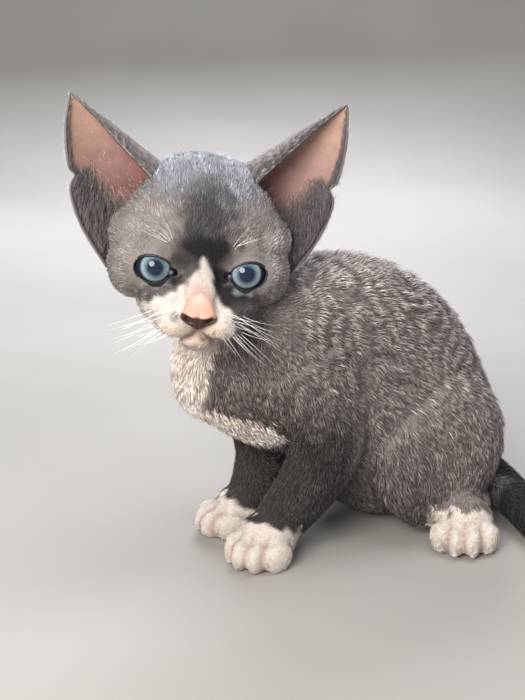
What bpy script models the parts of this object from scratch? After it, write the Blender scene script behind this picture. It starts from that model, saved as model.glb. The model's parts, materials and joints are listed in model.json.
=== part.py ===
"""A Devon Rex kitten, about eight weeks old, sitting on the floor, its head turned to its left.

It is life size, in metres, +Z up, and it faces -Y, so that its left side is +X. The body is modelled whole
from ellipsoids and lofts, melted together by a voxel remesh, covered with the clumps of its wavy coat, and
then parted with thin cuts into the parts that a person would name.
"""

import math
import random

import bmesh
import bpy
from mathutils import Matrix, Vector

MM = 0.001

# Driving dimensions, in millimetres
BODY_LENGTH = 126.0  # from the breastbone to the rump
BACK_HEIGHT = 98.0  # of the coat over the shoulder blades
CHEST_HALF_WIDTH = 27.0
EYE_HEIGHT = 103.5
EYE_SPACING = 28.4
EYEBALL_RADIUS = 7.4
HEAD_TURN = 65.0  # degrees to its left
HEAD_ROLL = 5.4
HEAD_PITCH = 0.0
EAR_LENGTH = 43.0
EAR_THICKNESS = 1.3
FOREPAW_SPREAD = 29.0
PAW_WIDTH = 22.0
TAIL_RADIUS = 7.6
GAP = 0.3  # between parts that touch
FAR = 300.0  # past the kitten on every side

# How the forms are melted together and thinned
VOXEL = 1.0
SMOOTH_STEPS = 9
HEAD_SMOOTH_STEPS = 8
BODY_SHARPNESS = 0.75  # share of the smoothing that the paws are spared
FACE_SHARPNESS = 0.3
HEAD_TRIANGLES = 1350
CORE_TRIANGLES = 3000
BODY_TRIANGLES = 5500
KEEP_DENSE = 3e-5  # how strongly the thinning spares the fine parts

COAT_BLUE = (0.105, 0.105, 0.115, 1.0)
COAT_WHITE = (0.80, 0.72, 0.64, 1.0)
NOSE_PINK = (0.62, 0.30, 0.24, 1.0)
EAR_SKIN = (0.30, 0.17, 0.15, 1.0)
EYE_BLUE = (0.24, 0.40, 0.48, 1.0)

EYE_MIDDLE = Vector((20.8, -24.0, EYE_HEIGHT))
HEAD = (
    Matrix.Translation(EYE_MIDDLE)
    @ Matrix.Rotation(math.radians(HEAD_TURN), 4, "Z")
    @ Matrix.Rotation(math.radians(HEAD_PITCH), 4, "X")
    @ Matrix.Rotation(math.radians(HEAD_ROLL), 4, "Y")
)
SIDES = {"left": 1.0, "right": -1.0}


def clear_scene():
    """Removes every object of the start-up scene."""
    for obj in list(bpy.data.objects):
        bpy.data.objects.remove(obj)


def link(name, mesh_edit):
    """A new object in the kitten's collection, from a bmesh in millimetres, which it frees."""
    mesh = bpy.data.meshes.new(name)
    mesh_edit.to_mesh(mesh)
    mesh_edit.free()
    mesh.transform(Matrix.Scale(MM, 4))
    obj = bpy.data.objects.new(name, mesh)
    bpy.data.collections["kitten"].objects.link(obj)
    return obj


def ellipsoid(name, centre, radii, turn=(0.0, 0.0, 0.0), place=None, sides=24):
    """An ellipsoid with its centre, three radii and turn in degrees, within the frame place."""
    spin = (
        Matrix.Rotation(math.radians(turn[2]), 4, "Z")
        @ Matrix.Rotation(math.radians(turn[1]), 4, "Y")
        @ Matrix.Rotation(math.radians(turn[0]), 4, "X")
    )
    frame = (place or Matrix()) @ Matrix.Translation(Vector(centre)) @ spin @ Matrix.Diagonal((*radii, 1.0))
    ball = bmesh.new()
    bmesh.ops.create_uvsphere(ball, u_segments=sides, v_segments=sides * 2 // 3, radius=1.0, matrix=frame)
    return link(name, ball)


def between(values, t):
    """The point at t, from 0 to the last index, on a smooth Catmull-Rom curve through the rows of values."""
    last = len(values) - 1
    i = min(int(t), last - 1)
    u = t - i
    a, b, c, d = (values[min(max(k, 0), last)] for k in (i - 1, i, i + 1, i + 2))
    return [
        0.5 * (2 * q + (r - p) * u + (2 * p - 5 * q + 4 * r - s) * u**2 + (3 * q - p - 3 * r + s) * u**3)
        for p, q, r, s in zip(a, b, c, d)
    ]


def loft(name, stations, across=(1.0, 0.0, 0.0), sides=20, steps=4, swell=0.0, place=None):
    """A closed form carried along a smooth path.

    Each station is x, y, z, the radius along across, and the radii up and down from the path.
    """
    across = Vector(across)
    count = (len(stations) - 1) * steps + 1
    rows = [between(stations, k / steps) for k in range(count)]
    shell = bmesh.new()
    rings = []
    for k, (x, y, z, wide, above, below) in enumerate(rows):
        ahead = Vector(rows[min(k + 1, count - 1)][:3]) - Vector(rows[max(k - 1, 0)][:3])
        along = ahead.normalized()
        side = (across - along * across.dot(along)).normalized()
        rise = side.cross(along)
        ring = []
        for j in range(sides):
            angle = 2 * math.pi * j / sides
            breadth = math.cos(angle) * (wide + swell)
            height = math.sin(angle) * ((above if math.sin(angle) > 0 else below) + swell)
            ring.append(shell.verts.new(Vector((x, y, z)) + side * breadth + rise * height))
        rings.append(ring)
    for first, second in zip(rings, rings[1:]):
        for j in range(sides):
            shell.faces.new((first[j], second[j], second[(j + 1) % sides], first[(j + 1) % sides]))
    shell.faces.new(rings[0])
    shell.faces.new(rings[-1][::-1])
    bmesh.ops.recalc_face_normals(shell, faces=shell.faces)
    bmesh.ops.transform(shell, matrix=place or Matrix(), verts=shell.verts)
    return link(name, shell)


def box(name, low, high, place=None):
    """A block between two corners, within the frame place."""
    low, high = Vector(low), Vector(high)
    sized = Matrix.Translation((low + high) / 2) @ Matrix.Diagonal((*(high - low), 1.0))
    frame = (place or Matrix()) @ sized
    block = bmesh.new()
    bmesh.ops.create_cube(block, size=1.0, matrix=frame)
    return link(name, block)


def settle(obj):
    """Applies the object's modifiers to its mesh."""
    graph = bpy.context.evaluated_depsgraph_get()
    mesh = bpy.data.meshes.new_from_object(obj.evaluated_get(graph))
    obj.modifiers.clear()
    obj.data = mesh
    return obj


def join(name, pieces):
    """One object that holds the meshes of several, which are removed."""
    whole = bmesh.new()
    for piece in pieces:
        whole.from_mesh(piece.data)
        bpy.data.objects.remove(piece)
    mesh = bpy.data.meshes.new(name)
    whole.to_mesh(mesh)
    whole.free()
    obj = bpy.data.objects.new(name, mesh)
    bpy.data.collections["kitten"].objects.link(obj)
    return obj


def weigh(obj, name, weight):
    """A vertex group whose weights are a function of the place in millimetres."""
    group = obj.vertex_groups.new(name=name)
    for vertex in obj.data.vertices:
        group.add([vertex.index], weight(vertex.co / MM), "REPLACE")
    return group.name


def thin(obj, triangles, finer):
    """Thins a mesh to about so many triangles, and keeps it dense where finer, from 0 to 1, is high."""
    step = obj.modifiers.new("Decimate", "DECIMATE")
    step.ratio = triangles / sum(len(face.vertices) - 2 for face in obj.data.polygons)
    step.vertex_group = weigh(obj, "coarse", lambda place: 1.0 - 0.9 * finer(place))
    step.vertex_group_factor = KEEP_DENSE
    settle(obj)
    obj.vertex_groups.clear()


def melt(name, pieces, steps, finer, sharpness):
    """Flows overlapping pieces into one skin, sharper by a share where finer, from 0 to 1, is high."""
    obj = join(name, pieces)
    remesh = obj.modifiers.new("Remesh", "REMESH")
    remesh.mode = "VOXEL"
    remesh.voxel_size = VOXEL * MM
    settle(obj)
    smooth = obj.modifiers.new("Smooth", "SMOOTH")
    smooth.factor = 0.5
    smooth.iterations = steps
    smooth.vertex_group = weigh(obj, "soft", lambda place: 1.0 - sharpness * finer(place))
    settle(obj)
    obj.vertex_groups.clear()
    return obj


def combine(obj, other, operation):
    """Joins, cuts or keeps what is shared with another object, and applies it."""
    step = obj.modifiers.new(operation.title(), "BOOLEAN")
    step.operation = operation
    step.solver = "MANIFOLD"
    step.object = other
    return settle(obj)


def largest(obj):
    """Keeps the largest closed surface of a mesh."""
    work = bmesh.new()
    work.from_mesh(obj.data)
    left = set(work.verts)
    shells = []
    while left:
        front = [left.pop()]
        shell = set(front)
        while front:
            near = {edge.other_vert(vert) for vert in front for edge in vert.link_edges} & left
            left -= near
            shell |= near
            front = list(near)
        shells.append(shell)
    shells.sort(key=len)
    bmesh.ops.delete(work, geom=[vert for shell in shells[:-1] for vert in shell], context="VERTS")
    work.to_mesh(obj.data)
    work.free()
    return obj


def copy_of(obj, name):
    """A copy of an object with a mesh of its own."""
    twin = bpy.data.objects.new(name, obj.data.copy())
    bpy.data.collections["kitten"].objects.link(twin)
    return twin


def part_off(body, name, region):
    """Parts off what lies inside a region as a node of its own, with a thin gap to the rest.

    region is a function that makes the region's form, swollen by a number of millimetres.
    """
    node = copy_of(body, name)
    inner, outer = region(0.0), region(GAP)
    largest(combine(node, inner, "INTERSECT"))
    largest(combine(body, outer, "DIFFERENCE"))
    for form in (inner, outer):
        bpy.data.objects.remove(form)
    return node


def cut(obj, cutter):
    """Cuts a form away, with its object."""
    largest(combine(obj, cutter, "DIFFERENCE"))
    bpy.data.objects.remove(cutter)


# The trunk: y, z, half width, and the radii up and down
TRUNK = (
    (-21.5, 64.0, 6.0, 7.0, 7.0),
    (-17.0, 64.0, 13.5, 15.0, 14.0),
    (-4.5, 64.0, 21.5, 26.5, 22.0),
    (15.0, 62.0, 27.0, 36.0, 30.0),
    (36.0, 57.0, 30.0, 42.0, 34.0),
    (56.0, 47.0, 32.0, 41.0, 40.0),
    (72.0, 36.0, 32.0, 33.0, 40.0),
    (84.0, 27.0, 29.0, 24.0, 34.0),
    (92.0, 20.0, 22.0, 16.0, 24.0),
    (96.0, 16.0, 10.0, 8.0, 12.0),
)
DRAWN_LENGTH = 126.0
DRAWN_HEIGHT = 98.0
DRAWN_HALF_WIDTH = 27.0


def trunk_stations():
    """The trunk's stations, sized to the body's length, height and width."""
    long = BODY_LENGTH / DRAWN_LENGTH
    wide = CHEST_HALF_WIDTH / DRAWN_HALF_WIDTH
    tall = BACK_HEIGHT / DRAWN_HEIGHT
    return [(0.0, y * long, z * tall, w * wide, up * tall, down * tall) for y, z, w, up, down in TRUNK]


# The neck and tail, and the long foot of the left hind leg from its heel, as stations for loft
NECK = (
    (0.0, 18.0, 70.0, 20.0, 20.0, 20.0),
    (-0.5, 10.0, 80.0, 20.5, 20.5, 21.0),
    (-1.5, 2.0, 90.0, 19.5, 19.0, 19.5),
    (-2.5, -5.0, 100.0, 18.5, 18.0, 18.0),
)


HIND_FOOT = (
    (16.5, 86.8, 8.0, 5.0, 6.0, 6.0),
    (19.0, 84.6, 8.4, 7.2, 8.2, 8.6),
    (25.5, 79.6, 8.4, 8.4, 8.5, 9.0),
    (32.5, 74.2, 7.8, 8.3, 7.5, 8.5),
)


def mirrored(rows, side):
    """Stations drawn for the left, on the side that is asked for."""
    return [(SIDES[side] * x, *rest) for x, *rest in rows]


def foreleg_stations(side):
    """From inside the shoulder down to the wrist."""
    foot = Vector((*PAWS[f"forepaw_{side}"][0], 0.0))
    s = SIDES[side]
    return [
        (s * 20.0, 13.0, 70.0, 12.0, 19.0, 19.0),
        (s * 22.0, 19.0, 54.0, 12.5, 17.0, 15.0),
        (s * 22.5, 21.0, 39.0, 11.5, 13.5, 12.0),
        ((s * 21.0 + foot.x) / 2 + s * 1.0, foot.y + 12.5, 25.0, 10.2, 11.5, 9.8),
        (foot.x, foot.y + 5.5, 14.0, 9.0, 10.0, 8.8),
        (foot.x, foot.y + 1.0, 7.0, 8.0, 8.0, 8.0),
    ]


# The tail: its middle line from the rump, and its radius as a share of the thickest
TAIL = (
    (0.0, 94.0, 16.0, 1.1),
    (5.0, 101.0, 10.5, 1.08),
    (16.0, 102.5, 7.6, 1.0),
    (27.0, 99.5, 7.1, 0.97),
    (39.0, 95.5, 6.8, 0.93),
    (52.0, 91.5, 6.3, 0.87),
    (65.0, 91.0, 5.8, 0.78),
    (78.0, 95.5, 5.1, 0.66),
    (89.0, 103.5, 4.3, 0.5),
    (93.0, 108.0, 3.8, 0.22),
)


def tail_stations():
    """The tail's stations from the rump to its tip, with radii as shares of the tail's."""
    return [(x, y, z, r * TAIL_RADIUS, r * TAIL_RADIUS, r * TAIL_RADIUS) for x, y, z, r in TAIL]


# The wavy coat of the back, flanks and thighs as rounded clumps in rows that cross the lie of the hair
CLUMP_SPACING = 11.4  # along a row
CLUMP_RADII = (6.6, 5.4, 3.3)  # along the row, least along the body, and up from the skin
CLUMP_SUNK = 1.4
CLUMP_ROWS = 10
CLUMP_FIRST_ROW = 0.25  # share of the trunk's path
CLUMP_LAST_ROW = 0.93
CLUMP_ARC = 60.0  # how far down a row goes from the spine, in millimetres of arc
CLUMP_JITTER = 1.2
CLUMP_SEED = 11


def skin_point(body, t, arc):
    """The place, outward way and lie of the hair on the trunk's skin.

    t counts the trunk's stations, and arc is the distance down from the spine, to the left if positive.
    """
    stations = trunk_stations()
    last = len(stations) - 1
    here, ahead = between(stations, min(t, last - 0.1)), between(stations, min(t + 0.1, last))
    middle = Vector(here[:3])
    along = (Vector(ahead[:3]) - middle).normalized()
    angle = arc / ((here[3] + here[4]) / 2)
    left = Vector((1.0, 0.0, 0.0))
    way = left.cross(along) * math.cos(angle) + left * math.sin(angle)
    _, place, normal, _ = body.ray_cast((middle + way * CHEST_HALF_WIDTH * 3.0) * MM, -way)
    return place / MM, normal, along


def clump(place, normal, along, radii):
    """A rounded clump of hair, with its root sunk in the skin."""
    across = normal.cross(along).normalized()
    frame = Matrix((across, normal.cross(across), normal)).transposed().to_4x4()
    frame = Matrix.Translation(place - normal * CLUMP_SUNK) @ frame @ Matrix.Diagonal((*radii, 1.0))
    ball = bmesh.new()
    bmesh.ops.create_uvsphere(ball, u_segments=7, v_segments=5, radius=1.0, matrix=frame)
    return link("clump", ball)


def wavy_coat(body):
    """The clumps over back, flanks and thighs, jittered, and as long as their rows are apart."""
    draw = random.Random(CLUMP_SEED)
    step = (CLUMP_LAST_ROW - CLUMP_FIRST_ROW) * (len(TRUNK) - 1) / (CLUMP_ROWS - 1)
    count = round(CLUMP_ARC / CLUMP_SPACING)
    clumps = []
    for row in range(CLUMP_ROWS):
        t = CLUMP_FIRST_ROW * (len(TRUNK) - 1) + step * row
        for k in range(-count, count + 1):
            arc = (k + 0.5 * (row % 2)) * CLUMP_SPACING + draw.uniform(-CLUMP_JITTER, CLUMP_JITTER)
            place, normal, along = skin_point(body, t + draw.uniform(-0.1, 0.1) * step, arc)
            before, after = (skin_point(body, t + half, arc)[0] for half in (-step / 2, step / 2))
            wide, least, high = (size * draw.uniform(0.92, 1.08) for size in CLUMP_RADII)
            long = min(max(0.56 * (after - before).length, 0.8 * least), 1.5 * least)
            if abs(arc) < CLUMP_ARC:
                clumps.append(clump(place, normal, along, (wide, long, high)))
    return clumps


def fuse_coat(body):
    """Joins the clumps to the body by one union, with their roots sunk in it."""
    coat = bpy.data.collections.new("coat")
    bpy.context.scene.collection.children.link(coat)
    for piece in wavy_coat(body):
        bpy.data.collections["kitten"].objects.unlink(piece)
        coat.objects.link(piece)
    step = body.modifiers.new("Coat", "BOOLEAN")
    step.operation = "UNION"
    step.operand_type = "COLLECTION"
    step.solver = "MANIFOLD"
    step.collection = coat
    settle(body)
    for piece in list(coat.objects):
        bpy.data.objects.remove(piece)
    bpy.data.collections.remove(coat)
    largest(body)
    thin(body, BODY_TRIANGLES, body_detail)


# Each paw: the middle of its palm on the floor, the degrees it points to the left of ahead, and its size
PAWS = {
    "forepaw_left": ((16.5, 3.0), 30.0, 1.05),
    "forepaw_right": ((18.0 - FOREPAW_SPREAD, 7.5), -2.0, 1.0),
    "hindpaw_left": ((39.0, 69.0), 52.0, 1.04),
    "hindpaw_right": ((-39.0, 69.0), -52.0, 1.04),
}
# A toe: across and ahead of the palm's middle, in shares of the paw's width, and its turn in degrees
TOES = ((-0.36, 0.36, -14.0), (-0.13, 0.52, -4.0), (0.14, 0.52, 4.0), (0.37, 0.34, 14.0))
# Shares of the paw's width
PALM_HEIGHT = 0.34
PALM_RADII = (0.44, 0.5, 0.42)
TOE_HEIGHT = 0.223
TOE_RADII = (0.145, 0.27, 0.25)
TOE_PITCH = 6.0  # degrees that the toes point down


def paw_frame(name):
    """The frame of a paw: its middle on the floor, -Y ahead, and its size."""
    (x, y), turn, size = PAWS[name]
    spin = Matrix.Rotation(math.radians(turn), 4, "Z")
    return Matrix.Translation((x, y, 0.0)) @ spin, PAW_WIDTH * size


def paw_pieces(name):
    """The palm and the four toes of a paw."""
    frame, width = paw_frame(name)
    pieces = [ellipsoid(name, (0.0, 0.0, PALM_HEIGHT * width), [r * width for r in PALM_RADII], place=frame)]
    for across, ahead, turn in TOES:
        centre = (across * width, -ahead * width, TOE_HEIGHT * width)
        radii = [r * width for r in TOE_RADII]
        pieces.append(ellipsoid(name, centre, radii, (TOE_PITCH, 0.0, -turn), frame, 16))
    return pieces


# The head's forms in its own frame, with the middle between the eyes at 0: name, centre, radii, turn
SKULL = (
    ("cranium", (0.0, 24.5, 9.5), (26.5, 26.0, 25.0), (0.0, 0.0, 0.0)),
    ("forehead", (0.0, 11.0, 10.5), (18.5, 12.0, 14.0), (0.0, 0.0, 0.0)),
    ("nose_bridge", (0.0, -1.6, -4.4), (6.4, 11.0, 5.2), (37.0, 0.0, 0.0)),
    ("nose_tip", (0.0, -9.2, -10.2), (5.6, 4.2, 4.6), (20.0, 0.0, 0.0)),
    ("jaw", (0.0, 8.0, -15.5), (10.5, 16.0, 7.0), (0.0, 0.0, 0.0)),
    ("chin", (0.0, -3.2, -20.2), (5.8, 6.0, 4.4), (0.0, 0.0, 0.0)),
)
# Forms that come on both sides of the head
SKULL_PAIRS = (
    ("cheek", (18.0, 15.0, -1.5), (11.8, 15.0, 12.0), (0.0, 0.0, 8.0)),
    ("under_cheek", (10.0, 5.0, -9.5), (10.0, 13.0, 9.0), (0.0, 0.0, 8.0)),
    ("temple", (20.0, 19.0, 7.0), (10.0, 12.5, 11.0), (0.0, 0.0, 0.0)),
    ("brow", (11.5, 6.6, 6.5), (10.0, 6.5, 6.0), (0.0, 0.0, 16.0)),
    ("pad", (7.0, -4.6, -14.6), (7.4, 8.0, 5.9), (0.0, 0.0, 18.0)),
)
LID = 1.5  # how far the lids stand over the eyeball
EYE_CENTRE = (EYE_SPACING / 2, 6.6, 0.0)
EYE_OUTWARD = 9.0  # degrees that each eye looks outwards


def eye_frame(side):
    """The frame of an eyeball, with -Y the way that it looks."""
    s = SIDES[side]
    outward = Matrix.Rotation(math.radians(s * EYE_OUTWARD), 4, "Z")
    return HEAD @ Matrix.Translation((s * EYE_CENTRE[0], EYE_CENTRE[1], EYE_CENTRE[2])) @ outward


def skull_pieces():
    """The forms of the head, with the lids still closed over the eyes."""
    pieces = [ellipsoid(name, centre, radii, turn, HEAD) for name, centre, radii, turn in SKULL]
    for name, (x, y, z), radii, (pitch, roll, yaw) in SKULL_PAIRS:
        for s in SIDES.values():
            pieces.append(ellipsoid(name, (s * x, y, z), radii, (pitch, s * roll, s * yaw), HEAD))
    for side in SIDES:
        lid = (EYEBALL_RADIUS + LID,) * 3
        pieces.append(ellipsoid("lids", (0.0, 0.0, 0.0), lid, place=eye_frame(side)))
    return pieces


def make_head():
    """The whole head with its lids closed, before anything is cut from it."""
    head = melt("head", skull_pieces(), HEAD_SMOOTH_STEPS, head_detail, FACE_SHARPNESS)
    thin(head, HEAD_TRIANGLES, head_detail)
    return head


def head_detail(point):
    """Keeps the mesh dense over the face and coarse behind the ears."""
    local = HEAD.inverted() @ point
    return min(max((14.0 - local.y) / 14.0, 0.0), 1.0)


# Half width and half height of the opening between the lids
OPENING = (5.9, 4.6)
OPENING_TILT = 4.0


def open_eyes(head):
    """Cuts an almond opening between the lids, then the sockets, and makes the eyes."""
    eyes = []
    ahead = EYEBALL_RADIUS / 2
    almond = (OPENING[0], EYEBALL_RADIUS + ahead, OPENING[1])
    for side, s in SIDES.items():
        frame = eye_frame(side)
        cut(head, ellipsoid("opening", (0.0, -ahead, 0.0), almond, (0.0, s * -OPENING_TILT, 0.0), frame, 16))
        cut(head, ellipsoid("socket", (0.0, 0.0, 0.0), (EYEBALL_RADIUS + GAP,) * 3, place=frame, sides=14))
        eyes.append(ellipsoid(f"eye_{side}", (0.0, 0.0, 0.0), (EYEBALL_RADIUS,) * 3, place=frame, sides=14))
    return eyes


# The mouth line from the nose to a corner: x, z and the groove's half width
MOUTH = (
    (0.0, -14.0, 0.55),
    (0.0, -16.6, 0.6),
    (2.0, -18.9, 0.65),
    (5.5, -20.3, 0.65),
    (9.5, -19.8, 0.65),
    (12.5, -18.0, 0.6),
    (14.0, -16.8, 0.4),
)
MOUTH_DEPTH = 1.0


def on_face(obj, x, z):
    """The place on the front of the head at a height and distance from its middle, in the head's frame."""
    start, way = HEAD @ Vector((x, -FAR, z)), HEAD.to_3x3() @ Vector((0.0, 1.0, 0.0))
    hit, place, _, _ = obj.ray_cast(start * MM, way)
    return HEAD.inverted() @ (place / MM) if hit else Vector((x, 0.0, z))


def cut_mouth(head):
    """Cuts the groove below the nose and the line of the mouth to both corners."""
    for s in SIDES.values():
        places = [(on_face(head, s * x, z), r) for x, z, r in MOUTH]
        stations = [(*place, r, MOUTH_DEPTH, MOUTH_DEPTH) for place, r in places]
        cut(head, loft("mouth", stations, (0.0, 0.0, 1.0), sides=6, steps=2, place=HEAD))


# The nose leather and the left nostril: centre, radii and turn
NOSE_REGION = ((0.0, -13.2, -9.4), (5.5, 4.4, 5.0), (18.0, 0.0, 0.0))
NOSTRIL = ((2.9, -13.2, -11.6), (1.5, 3.0, 0.9), (0.0, 30.0, 16.0))


def nose_region(swell):
    """The form that parts the nose from the muzzle."""
    centre, radii, turn = NOSE_REGION
    return ellipsoid("nose_region", centre, [r + swell for r in radii], turn, HEAD, 14)


def cut_nostrils(nose):
    """Cuts the two slanting nostrils."""
    (x, y, z), radii, (_, roll, yaw) = NOSTRIL
    for s in SIDES.values():
        cut(nose, ellipsoid("nostril", (s * x, y, z), radii, (0.0, s * roll, s * yaw), HEAD, 9))


# The left ear's rows from root to tip in the head's frame: inner rim, outer rim and the cup's depth
EAR_ROWS = (
    ((14.5, 15.5, 20.0), (32.0, 20.0, -3.0), 13.0),
    ((16.5, 16.0, 25.8), (37.0, 21.0, 6.0), 13.0),
    ((20.5, 17.5, 30.0), (41.5, 22.0, 15.0), 11.5),
    ((25.5, 19.5, 34.5), (43.8, 23.5, 25.0), 9.0),
    ((30.5, 21.5, 39.3), (45.0, 24.5, 33.5), 6.5),
    ((35.0, 23.5, 43.5), (45.2, 25.5, 41.0), 4.0),
    ((39.5, 25.0, 47.3), (44.8, 26.0, 46.5), 1.9),
    ((43.4, 26.0, 50.4), (44.4, 26.0, 50.4), 0.5),
)
EAR_BACK = Vector((-0.35, 0.9, 0.2)).normalized()
EAR_LIFT = {"left": 1.5, "right": -2.0}  # how far one tip stands higher, the other lower
EAR_CURL = 118.0  # degrees that the inner rim comes round from the middle of the cup's back
DRAWN_EAR_LENGTH = 43.0


def ear_section(row, side, angle, inset=0.0):
    """A place on the round of an ear, from its inner rim at -EAR_CURL degrees to its outer rim at 90."""
    inner, outer, depth = Vector(row[:3]), Vector(row[3:6]), EAR_BACK * row[6]
    share, drop = math.sin(math.radians(EAR_CURL)), math.cos(math.radians(EAR_CURL))
    half = (outer - inner + depth * drop) / (1.0 + share)
    middle = outer - half
    half = half * (1.0 - inset / max(half.length, 2.0 * inset + MM))
    depth = depth * (1.0 - inset / max(depth.length, 2.0 * inset + MM))
    place = middle + half * math.sin(math.radians(angle)) + depth * math.cos(math.radians(angle))
    grown = EAR_LENGTH / DRAWN_EAR_LENGTH
    lift = EAR_LIFT[side] * max(place.z, 0.0) / EAR_ROWS[-1][0][2]
    return Vector((SIDES[side] * place.x * grown, place.y, place.z * grown + lift))


def ear_rows(first, last, count):
    """Evenly spaced rows of an ear between two of those drawn."""
    drawn = [(*inner, *outer, depth) for inner, outer, depth in EAR_ROWS]
    return [between(drawn, first + (last - first) * i / (count - 1)) for i in range(count)]


EAR_STEPS = 12  # rows from root to tip
EAR_COLUMNS = 10  # places round the cup, from rim to rim
EAR_ANGLES = [-EAR_CURL + (90.0 + EAR_CURL) * j / (EAR_COLUMNS - 1) for j in range(EAR_COLUMNS)]
HOLLOW_ROWS = (0.15, 3.0, 7)  # first and last drawn row of the hollow cut into the head, and its steps


def ear_sheet(side):
    """The thin round wall of an ear."""
    sheet = bmesh.new()
    grid = []
    for row in ear_rows(0.0, len(EAR_ROWS) - 1.0, EAR_STEPS):
        grid.append([sheet.verts.new(HEAD @ ear_section(row, side, angle)) for angle in EAR_ANGLES])
    for first, second in zip(grid, grid[1:]):
        for j in range(EAR_COLUMNS - 1):
            sheet.faces.new((first[j], first[j + 1], second[j + 1], second[j]))
    ear = link(f"ear_{side}", sheet)
    wall = ear.modifiers.new("Solidify", "SOLIDIFY")
    wall.thickness = EAR_THICKNESS * MM
    wall.offset = 0.0
    return face_outwards(settle(ear))


def ear_hollow(side):
    """The closed form of the cup's inside at its root, that is cut into the head."""
    hollow = bmesh.new()
    rings = []
    for row in ear_rows(*HOLLOW_ROWS):
        places = [HEAD @ ear_section(row, side, angle, EAR_THICKNESS) for angle in EAR_ANGLES]
        rings.append([hollow.verts.new(place) for place in places])
    for first, second in zip(rings, rings[1:]):
        for j in range(EAR_COLUMNS):
            k = (j + 1) % EAR_COLUMNS
            hollow.faces.new((first[j], first[k], second[k], second[j]))
    hollow.faces.new(rings[0])
    hollow.faces.new(rings[-1])
    return face_outwards(link("ear_hollow", hollow))


def face_outwards(obj):
    """Turns all faces of a closed mesh outwards."""
    work = bmesh.new()
    work.from_mesh(obj.data)
    bmesh.ops.recalc_face_normals(work, faces=work.faces)
    work.to_mesh(obj.data)
    work.free()
    return obj


def make_ear(side, head):
    """An ear as a thin cup, cut clear of the head."""
    ear = ear_sheet(side)
    clear = copy_of(head, "head_clearance")
    swell = clear.modifiers.new("Displace", "DISPLACE")
    swell.mid_level = 0.0
    swell.strength = GAP * MM
    cut(ear, settle(clear))
    return ear


# The left shoulder and thigh: centre, radii and turn
SHOULDER = ((17.0, 16.0, 67.0), (13.0, 22.0, 25.0), (10.0, 0.0, 0.0))
THIGH = ((27.0, 66.0, 31.0), (12.0, 26.0, 28.0), (-20.0, 0.0, 0.0))


def body_pieces():
    """The forms of the trunk, neck, legs, paws and tail."""
    pieces = [loft("trunk", trunk_stations(), sides=32), loft("neck", NECK, sides=24)]
    for side, s in SIDES.items():
        for name, ((x, y, z), radii, turn) in (("shoulder", SHOULDER), ("thigh", THIGH)):
            pieces.append(ellipsoid(name, (s * x, y, z), radii, turn))
        pieces.append(loft("foreleg", foreleg_stations(side)))
        pieces.append(loft("hind_foot", mirrored(HIND_FOOT, side)))
    for name in PAWS:
        pieces += paw_pieces(name)
    pieces.append(loft("tail", tail_stations(), (0.0, 0.0, 1.0), sides=16))
    return pieces


def body_detail(point):
    """Keeps the mesh dense at the paws and coarse over the trunk."""
    for (x, y), _, _ in PAWS.values():
        if point.z < 15.0 and math.hypot(point.x - x, point.y - y) < 19.0:
            return 1.0
    return 0.25 if point.z < 30.0 and point.y < 30.0 else 0.0


# What is parted off as the neck: centre, radii and turn, and the plane between it and the head
NECK_REGION = ((-3.0, 2.0, 92.0), (25.0, 24.0, 17.0), (-35.0, 0.0, 0.0))
NECK_PLANE = (Vector((-2.0, 4.0, 94.0)), Vector((0.35, -0.55, 0.75)))
CHEST_PLANE = (Vector((0.0, 30.0, 50.0)), Vector((0.0, -0.93, 0.37)))  # between the chest and abdomen
# How far each region stands out past the form that it parts off
LEG_MARGIN = 2.4
THIGH_MARGIN = 3.2
TAIL_MARGIN = 1.4


def neck_region(swell):
    """The form that parts the neck from the trunk."""
    centre, radii, turn = NECK_REGION
    return ellipsoid("neck_region", centre, [r + swell for r in radii], turn)


def half_space(name, way):
    """A block on one side of the plane between head and neck, which leaves a gap to the other side's."""
    middle, normal = NECK_PLANE
    plane = Matrix.Translation(middle) @ (normal * way).to_track_quat("Z", "Y").to_matrix().to_4x4()
    return box(name, (-FAR, -FAR, -GAP / 2), (FAR, FAR, FAR), plane)


def leg_region(side):
    """The form that parts a foreleg from the trunk."""

    def form(swell):
        stations = foreleg_stations(side)
        x, y, z = stations[0][:3]
        top = [(x, y - 3.0, z + 14.0, 2.0, 3.0, 3.0), (x, y - 2.5, z + 11.5, 9.0, 11.0, 11.0)]
        return loft("leg_region", [*top, *stations], swell=swell + LEG_MARGIN, sides=10, steps=2)

    return form


# What is parted off as the left hind foot, from heel to toes
FOOT_REGION = (
    (10.5, 92.0, 4.0, 1.5, 2.0, 2.0),
    (12.0, 90.8, 4.0, 6.0, 7.5, 7.5),
    (17.0, 87.0, 5.0, 9.0, 11.0, 11.0),
    (27.0, 79.0, 5.0, 11.5, 12.5, 12.0),
    (39.0, 69.5, 5.0, 14.0, 12.5, 12.0),
    (50.0, 60.5, 5.0, 15.0, 11.0, 12.0),
    (58.0, 54.0, 5.0, 13.0, 9.0, 10.0),
)


def foot_region(side):
    """The form that parts a hind foot, from heel to toes, from the thigh and the trunk."""

    def form(swell):
        return loft("foot_region", mirrored(FOOT_REGION, side), swell=swell, sides=12, steps=2)

    return form


def paw_region(name):
    """The form that parts a forepaw from its leg."""

    def form(swell):
        frame, width = paw_frame(name)
        radii = [r * width + swell for r in (0.66, 0.86, 0.58)]
        return ellipsoid("paw_region", (0.0, -0.24 * width, 0.2 * width), radii, place=frame, sides=14)

    return form


def chest_region(swell):
    """All of the trunk that is ahead of a plane behind the elbows."""
    middle, normal = CHEST_PLANE
    plane = Matrix.Translation(middle) @ normal.to_track_quat("Z", "Y").to_matrix().to_4x4()
    return box("chest_region", (-FAR, -FAR, -swell), (FAR, FAR, FAR), plane)


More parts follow.
